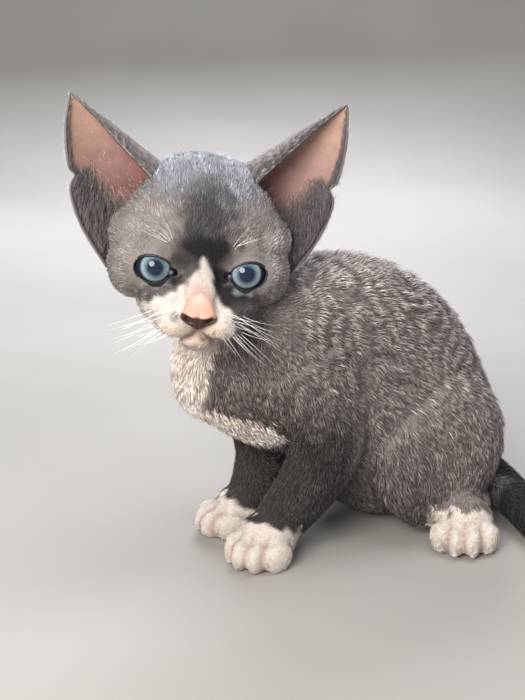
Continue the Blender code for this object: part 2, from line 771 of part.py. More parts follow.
def thigh_region(side):
    """The form that parts a thigh and its folded leg from the trunk."""

    def form(swell):
        (x, y, z), radii, turn = THIGH
        centre = (SIDES[side] * (x + 2.0), y, z - 2.0)
        return ellipsoid("thigh_region", centre, [r + THIGH_MARGIN + swell for r in radii], turn, sides=12)

    return form


# The tail's parts, the last one first, and the stations that each runs between
TAIL_PARTS = (("tail_tip", 6, 10), ("tail_middle", 3, 7), ("tail_base", 1, 4))


def tail_region(first, last):
    """The form that parts off the tail's length between two stations."""

    def form(swell):
        stations = tail_stations()[first:last]
        return loft("tail_region", stations, (0.0, 0.0, 1.0), sides=10, steps=2, swell=swell + TAIL_MARGIN)

    return form


def material(name, colour, roughness):
    """A plain material with one colour."""
    made = bpy.data.materials.new(name)
    made.use_nodes = True
    shader = made.node_tree.nodes["Principled BSDF"]
    shader.inputs["Base Color"].default_value = colour
    shader.inputs["Roughness"].default_value = roughness
    shader.inputs["Metallic"].default_value = 0.0
    return made


def make_kitten():
    """Models the kitten whole and parts it into its named nodes."""
    head = make_head()
    body = melt("abdomen", body_pieces(), SMOOTH_STEPS, body_detail, BODY_SHARPNESS)
    thin(body, CORE_TRIANGLES, body_detail)
    fuse_coat(body)
    cut(body, box("floor", (-FAR, -FAR, -FAR), (FAR, FAR, 0.0)))

    for side in SIDES:
        cut(head, ear_hollow(side))
    ears = [make_ear(side, head) for side in SIDES]
    cut(head, half_space("below_head", -1.0))

    eyes = open_eyes(head)
    cut_mouth(head)
    nose = part_off(head, "nose", nose_region)
    cut_nostrils(nose)

    cut(body, half_space("above_neck", 1.0))
    nodes = [head, nose, body, *eyes, *ears]
    nodes.append(part_off(body, "neck", neck_region))
    for name, first, last in TAIL_PARTS:
        nodes.append(part_off(body, name, tail_region(first, last)))
    for side in SIDES:
        nodes.append(part_off(body, f"forepaw_{side}", paw_region(f"forepaw_{side}")))
        nodes.append(part_off(body, f"hindfoot_{side}", foot_region(side)))
        nodes.append(part_off(body, f"foreleg_{side}", leg_region(side)))
        nodes.append(part_off(body, f"thigh_{side}", thigh_region(side)))
    nodes.append(part_off(body, "chest", chest_region))
    return nodes


def set_on_origin(nodes):
    """Moves all nodes so that the origin is on the floor under the middle of the whole kitten."""
    corners = [vertex.co for node in nodes for vertex in node.data.vertices]
    low_x, high_x = min(c.x for c in corners), max(c.x for c in corners)
    low_y, high_y = min(c.y for c in corners), max(c.y for c in corners)
    for node in nodes:
        node.data.transform(Matrix.Translation((-(low_x + high_x) / 2, -(low_y + high_y) / 2, 0.0)))


def dress(nodes):
    """Gives each node its material and smooth shading."""
    finishes = {
        "eye": material("eye", EYE_BLUE, 0.1),
        "nose": material("nose", NOSE_PINK, 0.45),
        "ear": material("ear_skin", EAR_SKIN, 0.7),
        "forepaw": material("white_coat", COAT_WHITE, 0.9),
        "coat": material("blue_coat", COAT_BLUE, 0.9),
    }
    finishes["hindfoot"] = finishes["forepaw"]
    for node in nodes:
        node.data.materials.clear()
        node.data.materials.append(finishes.get(node.name.split("_")[0], finishes["coat"]))
        node.data.shade_smooth()


def main():
    clear_scene()
    bpy.context.scene.collection.children.link(bpy.data.collections.new("kitten"))
    nodes = make_kitten()
    set_on_origin(nodes)
    dress(nodes)


main()
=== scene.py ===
"""A Devon Rex kitten sitting on the floor, its head turned to its left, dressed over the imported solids.

Every length here is in millimetres, in the frame that the part's source draws in: +Z up, the body facing -Y.
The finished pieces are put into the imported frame, in metres, by the place of the left eye.
"""

from __future__ import annotations

import json
import logging
import math
from dataclasses import dataclass, field
from enum import Enum
from typing import Callable, Optional, Sequence, Union

import bpy
import numpy as np
from mathutils import Matrix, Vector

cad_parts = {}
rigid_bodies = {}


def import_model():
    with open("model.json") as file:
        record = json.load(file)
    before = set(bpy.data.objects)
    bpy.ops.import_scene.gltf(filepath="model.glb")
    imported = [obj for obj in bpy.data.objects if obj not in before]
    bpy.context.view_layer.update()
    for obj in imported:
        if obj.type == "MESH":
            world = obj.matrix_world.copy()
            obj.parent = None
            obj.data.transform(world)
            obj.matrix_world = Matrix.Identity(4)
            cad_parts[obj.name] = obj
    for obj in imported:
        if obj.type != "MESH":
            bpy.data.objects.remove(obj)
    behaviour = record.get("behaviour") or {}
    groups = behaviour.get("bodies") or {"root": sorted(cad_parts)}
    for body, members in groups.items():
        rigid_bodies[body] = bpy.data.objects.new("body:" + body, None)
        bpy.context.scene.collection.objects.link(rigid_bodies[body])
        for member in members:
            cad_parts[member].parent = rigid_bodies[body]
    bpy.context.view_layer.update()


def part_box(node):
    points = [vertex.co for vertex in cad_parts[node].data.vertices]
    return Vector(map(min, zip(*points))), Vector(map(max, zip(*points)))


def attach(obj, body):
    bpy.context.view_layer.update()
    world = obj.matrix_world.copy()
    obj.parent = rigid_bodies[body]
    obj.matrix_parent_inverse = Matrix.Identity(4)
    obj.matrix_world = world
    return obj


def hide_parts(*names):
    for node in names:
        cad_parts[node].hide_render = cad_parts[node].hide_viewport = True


Array = np.ndarray
Triple = tuple[float, float, float]
Number = Union[int, float]

LOG = logging.getLogger("kitten")
MM = 0.001
SIDES = {"left": 1.0, "right": -1.0}


def unit(ways: Array) -> Array:
    """Ways scaled to length 1."""
    return ways / np.maximum(np.linalg.norm(ways, axis=-1, keepdims=True), 1e-9)


def smooth(low: float, high: float, values: Array) -> Array:
    """A soft step: 0 below low, 1 above high, and 3t^2 - 2t^3 between; low may be the larger."""
    t = np.clip((values - low) / (high - low), 0.0, 1.0)
    return t * t * (3.0 - 2.0 * t)


def mix(under: Array, over: Array | Triple, share: Array) -> Array:
    """Lays one colour or way over another, by a share from 0 to 1."""
    return under * (1 - share) + np.asarray(over) * share


def turn_matrix(turn: Triple) -> Array:
    """The rotation by degrees about x, then y, then z."""
    a, b, c = (math.radians(angle) for angle in turn)
    about_x = np.array([[1, 0, 0], [0, math.cos(a), -math.sin(a)], [0, math.sin(a), math.cos(a)]])
    about_y = np.array([[math.cos(b), 0, math.sin(b)], [0, 1, 0], [-math.sin(b), 0, math.cos(b)]])
    about_z = np.array([[math.cos(c), -math.sin(c), 0], [math.sin(c), math.cos(c), 0], [0, 0, 1]])
    return about_z @ about_y @ about_x


@dataclass(frozen=True)
class Frame:
    """A turned and moved frame of its own, such as the head's."""

    origin: Triple = (0.0, 0.0, 0.0)
    turn: Triple = (0.0, 0.0, 0.0)
    parent: Optional["Frame"] = None

    def out(self, places: Array) -> Array:
        """Places in this frame, given in the kitten's."""
        moved = places @ turn_matrix(self.turn).T + np.array(self.origin)
        return self.parent.out(moved) if self.parent else moved

    def out_way(self, ways: Array) -> Array:
        """Ways in this frame, given in the kitten's."""
        turned = ways @ turn_matrix(self.turn).T
        return self.parent.out_way(turned) if self.parent else turned

    def into(self, places: Array) -> Array:
        """Places of the kitten's frame, given in this one."""
        inner = self.parent.into(places) if self.parent else places
        return (inner - np.array(self.origin)) @ turn_matrix(self.turn)

    def into_way(self, ways: Array) -> Array:
        """Ways of the kitten's frame, given in this one."""
        inner = self.parent.into_way(ways) if self.parent else ways
        return inner @ turn_matrix(self.turn)


HEAD = Frame((20.8, -24.0, 103.5), (0.0, 5.4, 65.0))
NECK_PLACE = np.array([-2.0, 4.0, 94.0])
NECK_WAY = unit(np.array([0.35, -0.55, 0.75]))


def curve(rows: Array, t: Array) -> Array:
    """A Catmull-Rom curve through the rows: the cubic of the four rows nearest to each t."""
    rows = np.asarray(rows, float)
    last = len(rows) - 1
    i = np.clip(t.astype(int), 0, last - 1)
    u = (t - i)[:, None]
    p, q, r, s = (rows[np.clip(i + k, 0, last)] for k in (-1, 0, 1, 2))
    return 0.5 * (2 * q + (r - p) * u + (2 * p - 5 * q + 4 * r - s) * u**2 + (3 * q - p - 3 * r + s) * u**3)


class Drift:
    """A smooth random field: the sum of sine waves in random directions, all of about one length."""

    def __init__(self, length: float, seed: int, count: int = 16) -> None:
        """Draws the waves."""
        draw = np.random.default_rng(seed)
        self.waves = unit(draw.normal(size=(count, 3))) * draw.uniform(0.75, 1.35, (count, 1)) * 2 * np.pi / length
        self.starts = draw.uniform(0.0, 2 * np.pi, count)
        self.share = math.sqrt(2.0 / count)

    def value(self, places: Array) -> Array:
        """The field, about 0 with a spread of 1."""
        return np.sin(places @ self.waves.T + self.starts).sum(1) * self.share

    def slope(self, places: Array) -> Array:
        """The way that the field rises, steepest first."""
        return np.cos(places @ self.waves.T + self.starts) @ self.waves * self.share


@dataclass
class Shell:
    """A closed surface as arrays: its places and its corners."""

    places: Array
    quads: Array
    tris: Array

    def outward(self) -> "Shell":
        """The same surface with its faces outward: its signed volume is the sum of a . (b x c) / 6."""
        fans = np.concatenate([self.tris, self.quads[:, [0, 1, 2]], self.quads[:, [0, 2, 3]]])
        a, b, c = (self.places[fans[:, k]] for k in range(3))
        if np.einsum("ij,ij->", a, np.cross(b, c)) < 0.0:
            return Shell(self.places, self.quads[:, ::-1], self.tris[:, ::-1])
        return self

    def corners(self) -> Array:
        """The vertex at each corner of each face, the faces with four sides first."""
        return np.concatenate([self.quads.ravel(), self.tris.ravel()])

    def sides(self) -> Array:
        """How many corners each face has."""
        return np.concatenate([np.full(len(self.quads), 4), np.full(len(self.tris), 3)])


def wrap(grid: Array) -> Shell:
    """Joins each ring of a grid to the next, and closes both ends by a fan to the ring's middle."""
    rings, sides = grid.shape[:2]
    ids = np.arange(rings * sides).reshape(rings, sides)
    near = np.roll(ids, -1, axis=1)
    quads = np.stack([ids[:-1], near[:-1], near[1:], ids[1:]], axis=-1).reshape(-1, 4)
    first = np.stack([np.full(sides, rings * sides), near[0], ids[0]], axis=-1)
    last = np.stack([np.full(sides, rings * sides + 1), ids[-1], near[-1]], axis=-1)
    places = np.concatenate([grid.reshape(-1, 3), [grid[0].mean(0)], [grid[-1].mean(0)]])
    return Shell(places, quads, np.concatenate([first, last])).outward()


def together(shells: Sequence[Shell]) -> Shell:
    """Several closed surfaces as one set of arrays."""
    starts = np.cumsum([0] + [len(shell.places) for shell in shells[:-1]])
    return Shell(
        np.concatenate([shell.places for shell in shells]),
        np.concatenate([shell.quads + start for shell, start in zip(shells, starts)]),
        np.concatenate([shell.tris + start for shell, start in zip(shells, starts)]),
    )


def ball(
    centre: Triple, radii: Triple, turn: Triple = (0.0, 0.0, 0.0), frame: Frame = Frame(), sides: int = 40
) -> Shell:
    """An ellipsoid: radii times (cos v sin u, sin v sin u, cos u), turned and moved."""
    u = np.linspace(0.0, np.pi, sides // 2 + 1)[1:-1, None]
    v = np.linspace(0.0, 2 * np.pi, sides, endpoint=False)[None, :]
    grid = np.stack([np.cos(v) * np.sin(u), np.sin(v) * np.sin(u), np.cos(u) + 0 * v], axis=-1)
    grid = (grid * np.array(radii)) @ turn_matrix(turn).T + np.array(centre)
    return wrap(frame.out(grid))


def loft(stations: Sequence, across: Triple = (1.0, 0.0, 0.0), sides: int = 40, steps: int = 8) -> Shell:
    """A round form along a smooth path: at each place, across cos a and up or down sin a, by the station's radii."""
    rows = curve(stations, np.linspace(0.0, len(stations) - 1.0, (len(stations) - 1) * steps + 1))
    path = rows[:, :3]
    along = unit(np.gradient(path, axis=0))
    side = unit(np.array(across) - along * (along @ np.array(across))[:, None])
    rise = np.cross(side, along)
    angle = np.linspace(0.0, 2 * np.pi, sides, endpoint=False)[None, :, None]
    height = np.where(np.sin(angle) > 0, rows[:, None, 4:5], rows[:, None, 5:6]) * np.sin(angle)
    breadth = np.cos(angle) * rows[:, None, 3:4]
    return wrap(path[:, None] + side[:, None] * breadth + rise[:, None] * height)


class Bench:
    """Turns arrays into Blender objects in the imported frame, and back."""

    def __init__(self) -> None:
        """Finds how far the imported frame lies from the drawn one, by the left eye."""
        low, high = (np.array(corner, float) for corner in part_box("eye_left"))
        self.shift = (low + high) / 2 / MM - EYES["left"].frame.out(np.zeros((1, 3)))[0]

    def mesh(self, name: str, shell: Shell) -> bpy.types.Mesh:
        """A smooth mesh in metres from a surface in millimetres."""
        mesh = bpy.data.meshes.new(name)
        corners, sizes = shell.corners().astype(np.int32), shell.sides()
        starts = np.concatenate([[0], np.cumsum(sizes)[:-1]]).astype(np.int32)
        mesh.vertices.add(len(shell.places))
        mesh.vertices.foreach_set("co", ((shell.places + self.shift) * MM).astype(np.float32).ravel())
        mesh.loops.add(len(corners))
        mesh.loops.foreach_set("vertex_index", corners)
        mesh.polygons.add(len(sizes))
        mesh.polygons.foreach_set("loop_start", starts)
        mesh.update(calc_edges=True)
        mesh.shade_smooth()
        return mesh

    def make(self, name: str, shell: Shell) -> bpy.types.Object:
        """A new object at the origin from a surface in millimetres."""
        piece = bpy.data.objects.new(name, self.mesh(name, shell))
        bpy.context.scene.collection.objects.link(piece)
        return piece

    def places(self, piece: bpy.types.Object) -> Array:
        """The places of a piece's vertices in millimetres."""
        flat = np.empty(len(piece.data.vertices) * 3, np.float32)
        piece.data.vertices.foreach_get("co", flat)
        return flat.reshape(-1, 3).astype(float) / MM - self.shift

    def normals(self, piece: bpy.types.Object) -> Array:
        """The outward ways at a piece's vertices."""
        flat = np.empty(len(piece.data.vertices) * 3, np.float32)
        piece.data.vertex_normals.foreach_get("vector", flat)
        return flat.reshape(-1, 3).astype(float)

    def move(self, piece: bpy.types.Object, places: Array) -> None:
        """Puts a piece's vertices at new places in millimetres."""
        piece.data.vertices.foreach_set("co", ((places + self.shift) * MM).astype(np.float32).ravel())
        piece.data.update()

    def settle(self, piece: bpy.types.Object) -> bpy.types.Object:
        """Applies a piece's modifiers to its mesh."""
        graph = bpy.context.evaluated_depsgraph_get()
        mesh = bpy.data.meshes.new_from_object(piece.evaluated_get(graph))
        piece.modifiers.clear()
        old, piece.data = piece.data, mesh
        bpy.data.meshes.remove(old)
        mesh.name = piece.name
        return piece

    def soften(self, piece: bpy.types.Object, share: Array, steps: int) -> None:
        """Smooths a piece, each vertex by its own share from 0 to 1, in eleven levels."""
        group = piece.vertex_groups.new(name="soft")
        level = np.round(np.clip(share, 0.0, 1.0) * 10).astype(int)
        for k in range(1, 11):
            group.add(np.flatnonzero(level == k).tolist(), k / 10, "REPLACE")
        step = piece.modifiers.new("Smooth", "SMOOTH")
        step.factor = 0.5
        step.iterations = steps
        step.vertex_group = group.name
        self.settle(piece)
        piece.vertex_groups.clear()

    def melt(self, name: str, shells: Sequence[Shell], voxel: float) -> bpy.types.Object:
        """Flows overlapping surfaces into one skin."""
        piece = self.make(name, together(shells))
        step = piece.modifiers.new("Remesh", "REMESH")
        step.mode = "VOXEL"
        step.voxel_size = voxel * MM
        return self.settle(piece)

    def combine(self, piece: bpy.types.Object, other: bpy.types.Object, operation: str) -> None:
        """Joins another object to a piece, or cuts it away, and removes it."""
        step = piece.modifiers.new("Boolean", "BOOLEAN")
        step.operation = operation
        step.solver = "MANIFOLD"
        step.material_mode = "INDEX"
        step.object = other
        self.settle(piece)
        bpy.data.objects.remove(other)

    def colour(self, piece: bpy.types.Object, colours: Array) -> None:
        """Keeps one colour for each vertex as the attribute coat_colour."""
        layer = piece.data.color_attributes.new("coat_colour", "FLOAT_COLOR", "POINT")
        full = np.concatenate([np.clip(colours, 0.0, 1.0), np.ones((len(colours), 1))], axis=1)
        layer.data.foreach_set("color", full.astype(np.float32).ravel())


# Shader maths


class Socket:
    """A node's output that can be used in sums."""

    def __init__(self, nodes: "Nodes", link: bpy.types.NodeSocket) -> None:
        """Keeps the tree it belongs to."""
        self.nodes = nodes
        self.link = link

    def _sum(self, operation: str, *others: "Socket | Number") -> "Socket":
        """One Math node."""
        return self.nodes.add("ShaderNodeMath", {"operation": operation}, dict(enumerate(others)))

    def __add__(self, other: "Socket | Number") -> "Socket":
        """self + other."""
        return self._sum("ADD", self, other)

    def __mul__(self, other: "Socket | Number") -> "Socket":
        """self * other."""
        return self._sum("MULTIPLY", self, other)

    def __sub__(self, other: "Socket | Number") -> "Socket":
        """self - other."""
        return self._sum("SUBTRACT", self, other)

    def __rsub__(self, other: Number) -> "Socket":
        """other - self."""
        return self._sum("SUBTRACT", other, self)

    __radd__ = __add__
    __rmul__ = __mul__


class Nodes:
    """A new material's tree, with one method for every node."""

    def __init__(self, name: str) -> None:
        """Makes the material and finds its shader."""
        self.material = bpy.data.materials.new(name)
        self.material.use_nodes = True
        self.tree = self.material.node_tree
        self.shader = self.tree.nodes["Principled BSDF"]

    def add(self, kind: str, settings: dict, inputs: dict, output: "int | str" = 0) -> Socket:
        """Adds a node.

        Args:
            kind: the node's type.
            settings: its own properties, or the stops of a ramp as (place, colour) pairs.
            inputs: values or links by the socket's name or number.
            output: the output socket that is wanted.

        Returns:
            The output socket.
        """
        node = self.tree.nodes.new(kind)
        for key, value in settings.items():
            if key == "stops":
                self._stops(node.color_ramp, value)
            else:
                setattr(node, key, value)
        for key, value in inputs.items():
            if isinstance(value, Socket):
                self.tree.links.new(value.link, node.inputs[key])
            else:
                node.inputs[key].default_value = value
        return Socket(self, node.outputs[output])

    @staticmethod
    def _stops(ramp: bpy.types.ColorRamp, stops: Sequence) -> None:
        """Sets a ramp's stops."""
        while len(ramp.elements) < len(stops):
            ramp.elements.new(0.5)
        for element, (place, colour) in zip(ramp.elements, stops):
            element.position = place
            element.color = (*colour, 1.0)

    def mix(self, share: "Socket | Number", first: object, second: object, blend: str = "MIX") -> Socket:
        """Mixes two colours by a share."""
        inputs = {0: share, 6: first, 7: second}
        return self.add("ShaderNodeMix", {"data_type": "RGBA", "blend_type": blend}, inputs, 2)

    def coat_colour(self) -> Socket:
        """The colour that the piece keeps for each vertex."""
        return self.add("ShaderNodeAttribute", {"attribute_name": "coat_colour"}, {}, "Color")

    def shaded(self, colour: object, cloud: Socket, low: float, high: float) -> Socket:
        """A colour times a cloud that is stretched from low to high."""
        shade = self.add("ShaderNodeMapRange", {}, {"Value": cloud, "To Min": low, "To Max": high})
        return self.mix(1.0, colour, shade, "MULTIPLY")

    def place(self) -> Socket:
        """The object's own coordinates."""
        return self.add("ShaderNodeTexCoord", {}, {}, "Object")

    def noise(self, scale: float, detail: float = 3.0, place: Optional[Socket] = None) -> Socket:
        """A noise of so many bumps to the metre."""
        inputs = {"Vector": place or self.place(), "Scale": scale, "Detail": detail}
        return self.add("ShaderNodeTexNoise", {}, inputs, 0)

    def set(self, **values: object) -> None:
        """Sets or links the shader's own sockets, their names written with _ for a space."""
        for key, value in values.items():
            socket = self.shader.inputs[key.replace("_", " ")]
            if isinstance(value, Socket):
                self.tree.links.new(value.link, socket)
            else:
                socket.default_value = value

    def bump(self, height: Socket, strength: float, distance: float) -> Socket:
        """A bump from a height, its distance in metres."""
        inputs = {"Height": height, "Strength": strength, "Distance": distance}
        return self.add("ShaderNodeBump", {}, inputs, "Normal")


# Finishes


@dataclass(frozen=True)
class CoatFinish:
    """Hair: the colour that each tuft carries, dull, with a soft sheen."""

    name: str = "hair"
    roughness: float = 0.8
    sheen: float = 0.05

    def material(self) -> bpy.types.Material:
        """Makes the material."""
        nodes = Nodes(self.name)
        colour = nodes.coat_colour()
        nodes.set(Base_Color=colour, Roughness=self.roughness, Sheen_Weight=self.sheen, Sheen_Roughness=0.5)
        nodes.set(Sheen_Tint=(0.85, 0.92, 1.0, 1.0), Specular_IOR_Level=0.18)
        return nodes.material


@dataclass(frozen=True)
class SkinFinish:
    """The skin and the down on it: the same markings, broken up by fine bumps."""

    name: str = "skin"
    grain: float = 1500.0

    def material(self) -> bpy.types.Material:
        """Makes the material."""
        nodes = Nodes(self.name)
        colour = nodes.coat_colour()
        down = nodes.noise(self.grain)
        nodes.set(Base_Color=nodes.shaded(colour, down, 0.6, 1.2), Roughness=0.85)
        nodes.set(Normal=nodes.bump(down, 0.6, 0.0004), Specular_IOR_Level=0.15)
        return nodes.material


@dataclass(frozen=True)
class EarSkinFinish:
    """The bare inner skin of an ear: veined and thin, with the light shining through it painted into the colours it
    carries.
    """

    name: str = "ear_skin"

    def material(self) -> bpy.types.Material:
        """Makes the material."""
        nodes = Nodes(self.name)
        colour = nodes.coat_colour()
        veins = nodes.noise(260.0, 4.0)
        down = nodes.noise(1800.0)
        nodes.set(Base_Color=nodes.shaded(colour, veins, 0.72, 1.25), Roughness=0.55)
        nodes.set(Normal=nodes.bump(veins + down * 0.35, 0.5, 0.0005))
        nodes.set(Specular_IOR_Level=0.25)
        return nodes.material


@dataclass(frozen=True)
class NoseFinish:
    """Moist nose leather with fine pebbles."""

    name: str = "nose_leather"

    def material(self) -> bpy.types.Material:
        """Makes the material."""
        nodes = Nodes(self.name)
        colour = nodes.coat_colour()
        pebbles = nodes.add(
            "ShaderNodeTexVoronoi", {"feature": "SMOOTH_F1"}, {"Vector": nodes.place(), "Scale": 2200.0}, "Distance"
        )
        nodes.set(Base_Color=colour, Roughness=0.5, Normal=nodes.bump(pebbles, 0.3, 0.00025))
        nodes.set(Specular_IOR_Level=0.35)
        return nodes.material


@dataclass(frozen=True)
class EyeFinish:
    """A wet eye: pupil, fibred iris and dark edge, by the distance from the pupil's middle."""

    name: str = "eye"
    pupil: Triple = (0.006, 0.014, 0.030)
    inner: Triple = (0.025, 0.045, 0.070)
    middle: Triple = (0.110, 0.152, 0.178)
    outer: Triple = (0.225, 0.285, 0.305)
    edge: Triple = (0.012, 0.016, 0.028)

    def material(self) -> bpy.types.Material:
        """Makes the material, which reads the piece's own UV map: angle round the pupil, and distance from it."""
        nodes = Nodes(self.name)
        place = nodes.add("ShaderNodeUVMap", {"uv_map": "iris"}, {})
        parts = nodes.add("ShaderNodeSeparateXYZ", {}, {0: place}, 1)
        stretched = nodes.add("ShaderNodeMapping", {}, {"Vector": place, "Scale": (46.0, 3.0, 1.0)})
        fibres = nodes.add("ShaderNodeTexNoise", {}, {"Vector": stretched, "Scale": 1.0, "Detail": 3.0}, 0)
        stops = (
            (0.0, self.pupil),
            (0.285, self.pupil),
            (0.325, self.inner),
            (0.43, self.middle),
            (0.585, self.outer),
            (0.65, self.middle),
            (0.70, self.edge),
            (1.0, self.edge),
        )
        rings = nodes.add("ShaderNodeValToRGB", {"stops": stops}, {0: parts + (fibres - 0.5) * 0.05})
        nodes.set(Base_Color=nodes.shaded(rings, fibres, 0.72, 1.28), Roughness=0.5)
        nodes.set(Coat_Weight=1.0, Coat_Roughness=0.03, Coat_IOR=1.4, Specular_IOR_Level=0.0)
        return nodes.material


@dataclass(frozen=True)
class PlainFinish:
    """A small part's colour with a fine mottle."""

    name: str
    colour: Triple
    roughness: float
    mottle: float = 900.0
    coat: float = 0.0
    gloss: float = 0.3

    def material(self) -> bpy.types.Material:
        """Makes the material."""
        nodes = Nodes(self.name)
        tint = nodes.shaded((*self.colour, 1.0), nodes.noise(self.mottle), 0.8, 1.2)
        nodes.set(Base_Color=tint, Roughness=self.roughness, Coat_Weight=self.coat, Specular_IOR_Level=self.gloss)
        return nodes.material


# The head


@dataclass(frozen=True)
class Eye:
    """One eye: its ball, its opening between the lids, and where it looks, in the head's frame."""

    side: str
    gaze: Triple
    spacing: float = 28.4
    depth: float = 6.6
    radius: float = 7.4
    outward: float = 9.0
    half_width: float = 5.9
    half_height: float = 4.25

    @property
    def frame(self) -> Frame:
        """The ball's frame, with -Y the way out between the lids."""
        s = SIDES[self.side]
        return Frame((s * self.spacing / 2, self.depth, 0.0), (0.0, 0.0, s * self.outward), HEAD)

    def opening(self, angle: Array, grow: float = 0.0) -> Array:
        """The edge of the lids as seen from the front: an oval, drawn out to a point at the inner corner.

        Args:
            angle: from the inner corner at 0, over the upper lid.
            grow: how far outside the edge.

        Returns:
            Places across and up in the eye's frame.
        """
        s = SIDES[self.side]
        corner = np.exp(-((np.angle(np.exp(1j * angle)) / 0.33) ** 2))
        outer = np.exp(-((np.angle(np.exp(1j * (angle - np.pi))) / 0.5) ** 2))
        x = (self.half_width + grow) * np.cos(angle) + 0.9 * corner
        z = (self.half_height + grow) * np.sin(angle) - 1.1 * corner + 0.3 * outer
        return np.stack([-s * x, z - 0.02 * x], axis=-1)

    def reach(self, places: Array) -> Array:
        """How far places lie outside the opening as seen from the front, less than 0 within it."""
        local = self.frame.into(places)
        angle = np.arctan2(local[:, 2] / self.half_height, -SIDES[self.side] * local[:, 0] / self.half_width)
        edge = self.opening(angle)
        return np.hypot(local[:, 0], local[:, 2]) - np.hypot(edge[:, 0], edge[:, 1])


EYES = {"left": Eye("left", (0.2, -7.4, 0.7)), "right": Eye("right", (-0.2, -7.4, 0.8))}

# The mouth line from the nose to a corner, across and up in the head's frame
MOUTH = ((0.0, -14.4), (0.0, -16.8), (2.0, -18.7), (5.5, -19.9), (9.5, -19.5), (12.5, -17.8), (14.2, -16.4))


def line_distance(points: Array, line: Sequence) -> Array:
    """How far points on a plane lie from a line of several stretches."""
    best = np.full(len(points), np.inf)
    for start, end in zip(np.array(line[:-1], float), np.array(line[1:], float)):
        way = end - start
        t = np.clip((points - start) @ way / (way @ way), 0.0, 1.0)
        best = np.minimum(best, np.linalg.norm(points - start - t[:, None] * way, axis=1))
    return best


def outline_distance(points: Array, outline: Sequence) -> Array:
    """How far points on a plane lie outside a closed outline, less than 0 within it."""
    ring = np.array([*outline, outline[0]], float)
    inside = np.zeros(len(points), bool)
    for (ax, ay), (bx, by) in zip(ring[:-1], ring[1:]):
        if ay != by:
            crosses = (points[:, 1] > ay) != (points[:, 1] > by)
            inside ^= crosses & (points[:, 0] < ax + (points[:, 1] - ay) * (bx - ax) / (by - ay))
    distance = line_distance(points, ring)
    return np.where(inside, -distance, distance)


@dataclass(frozen=True)
class Skull:
    """The head's forms in its own frame: centre, radii and turn, alone or on both sides."""

    single: tuple = (
        ((0.0, 24.5, 9.5), (26.5, 26.0, 25.0), (0.0, 0.0, 0.0)),
        ((0.0, 11.0, 10.5), (18.5, 12.0, 14.0), (0.0, 0.0, 0.0)),
        ((0.0, -1.6, -4.4), (6.4, 11.0, 5.2), (37.0, 0.0, 0.0)),
        ((0.0, -9.0, -9.8), (5.4, 4.0, 4.6), (20.0, 0.0, 0.0)),
        ((0.0, 8.0, -15.5), (10.5, 16.0, 7.0), (0.0, 0.0, 0.0)),
        ((0.0, -3.2, -20.2), (5.8, 6.0, 4.4), (0.0, 0.0, 0.0)),
    )
    paired: tuple = (
        ((18.0, 15.0, -1.5), (11.8, 15.0, 12.0), (0.0, 0.0, 8.0)),
        ((10.0, 5.0, -9.5), (10.0, 13.0, 9.0), (0.0, 0.0, 8.0)),
        ((20.0, 19.0, 7.0), (10.0, 12.5, 11.0), (0.0, 0.0, 0.0)),
        ((11.5, 6.6, 6.5), (10.0, 6.5, 6.0), (0.0, 0.0, 16.0)),
        ((7.0, -4.6, -14.6), (7.4, 8.0, 5.9), (0.0, 0.0, 18.0)),
    )
    lid: float = 1.5
    voxel: float = 0.64

    def shells(self) -> list[Shell]:
        """The overlapping forms, with closed lids."""
        shells = [ball(centre, radii, turn, HEAD, 64) for centre, radii, turn in self.single]
        for (x, y, z), radii, (pitch, roll, yaw) in self.paired:
            for s in SIDES.values():
                shells.append(ball((s * x, y, z), radii, (pitch, s * roll, s * yaw), HEAD, 56))
        for eye in EYES.values():
            shells.append(ball((0.0, 0.0, 0.0), (eye.radius + self.lid,) * 3, (0.0, 0.0, 0.0), eye.frame, 56))
        return shells

    def build(self, bench: Bench) -> bpy.types.Object:
        """The head's skin out to the coat's tips, smoothed as the solid is."""
        head = bench.melt("skin", self.shells(), self.voxel)
        local = HEAD.into(bench.places(head))
        face = smooth(14.0, 0.0, local[:, 1])
        bench.soften(head, 1.0 - 0.3 * face, round(8 / self.voxel**2))
        return head

    def fold(self, local: Array) -> Array:
        """How far the face rises in the head's frame: the mouth's line and lips, and the tear line below the eye."""
        front = smooth(6.0, 1.0, local[:, 1])
        flat = np.stack([np.abs(local[:, 0]), local[:, 2]], axis=1)
        mouth = line_distance(flat, MOUTH)
        rise = front * (-1.0 * np.exp(-((mouth / 0.75) ** 2)) + 0.3 * np.exp(-(((mouth - 1.9) / 1.0) ** 2)))
        tear = line_distance(flat, ((8.2, -1.6), (6.6, -4.2), (5.6, -6.6)))
        rise -= 0.45 * front * np.exp(-((tear / 1.1) ** 2))
        return rise


INNER_TURN = 1000.0  # marks the inner side of an ear's wall, and is more than any angle on it


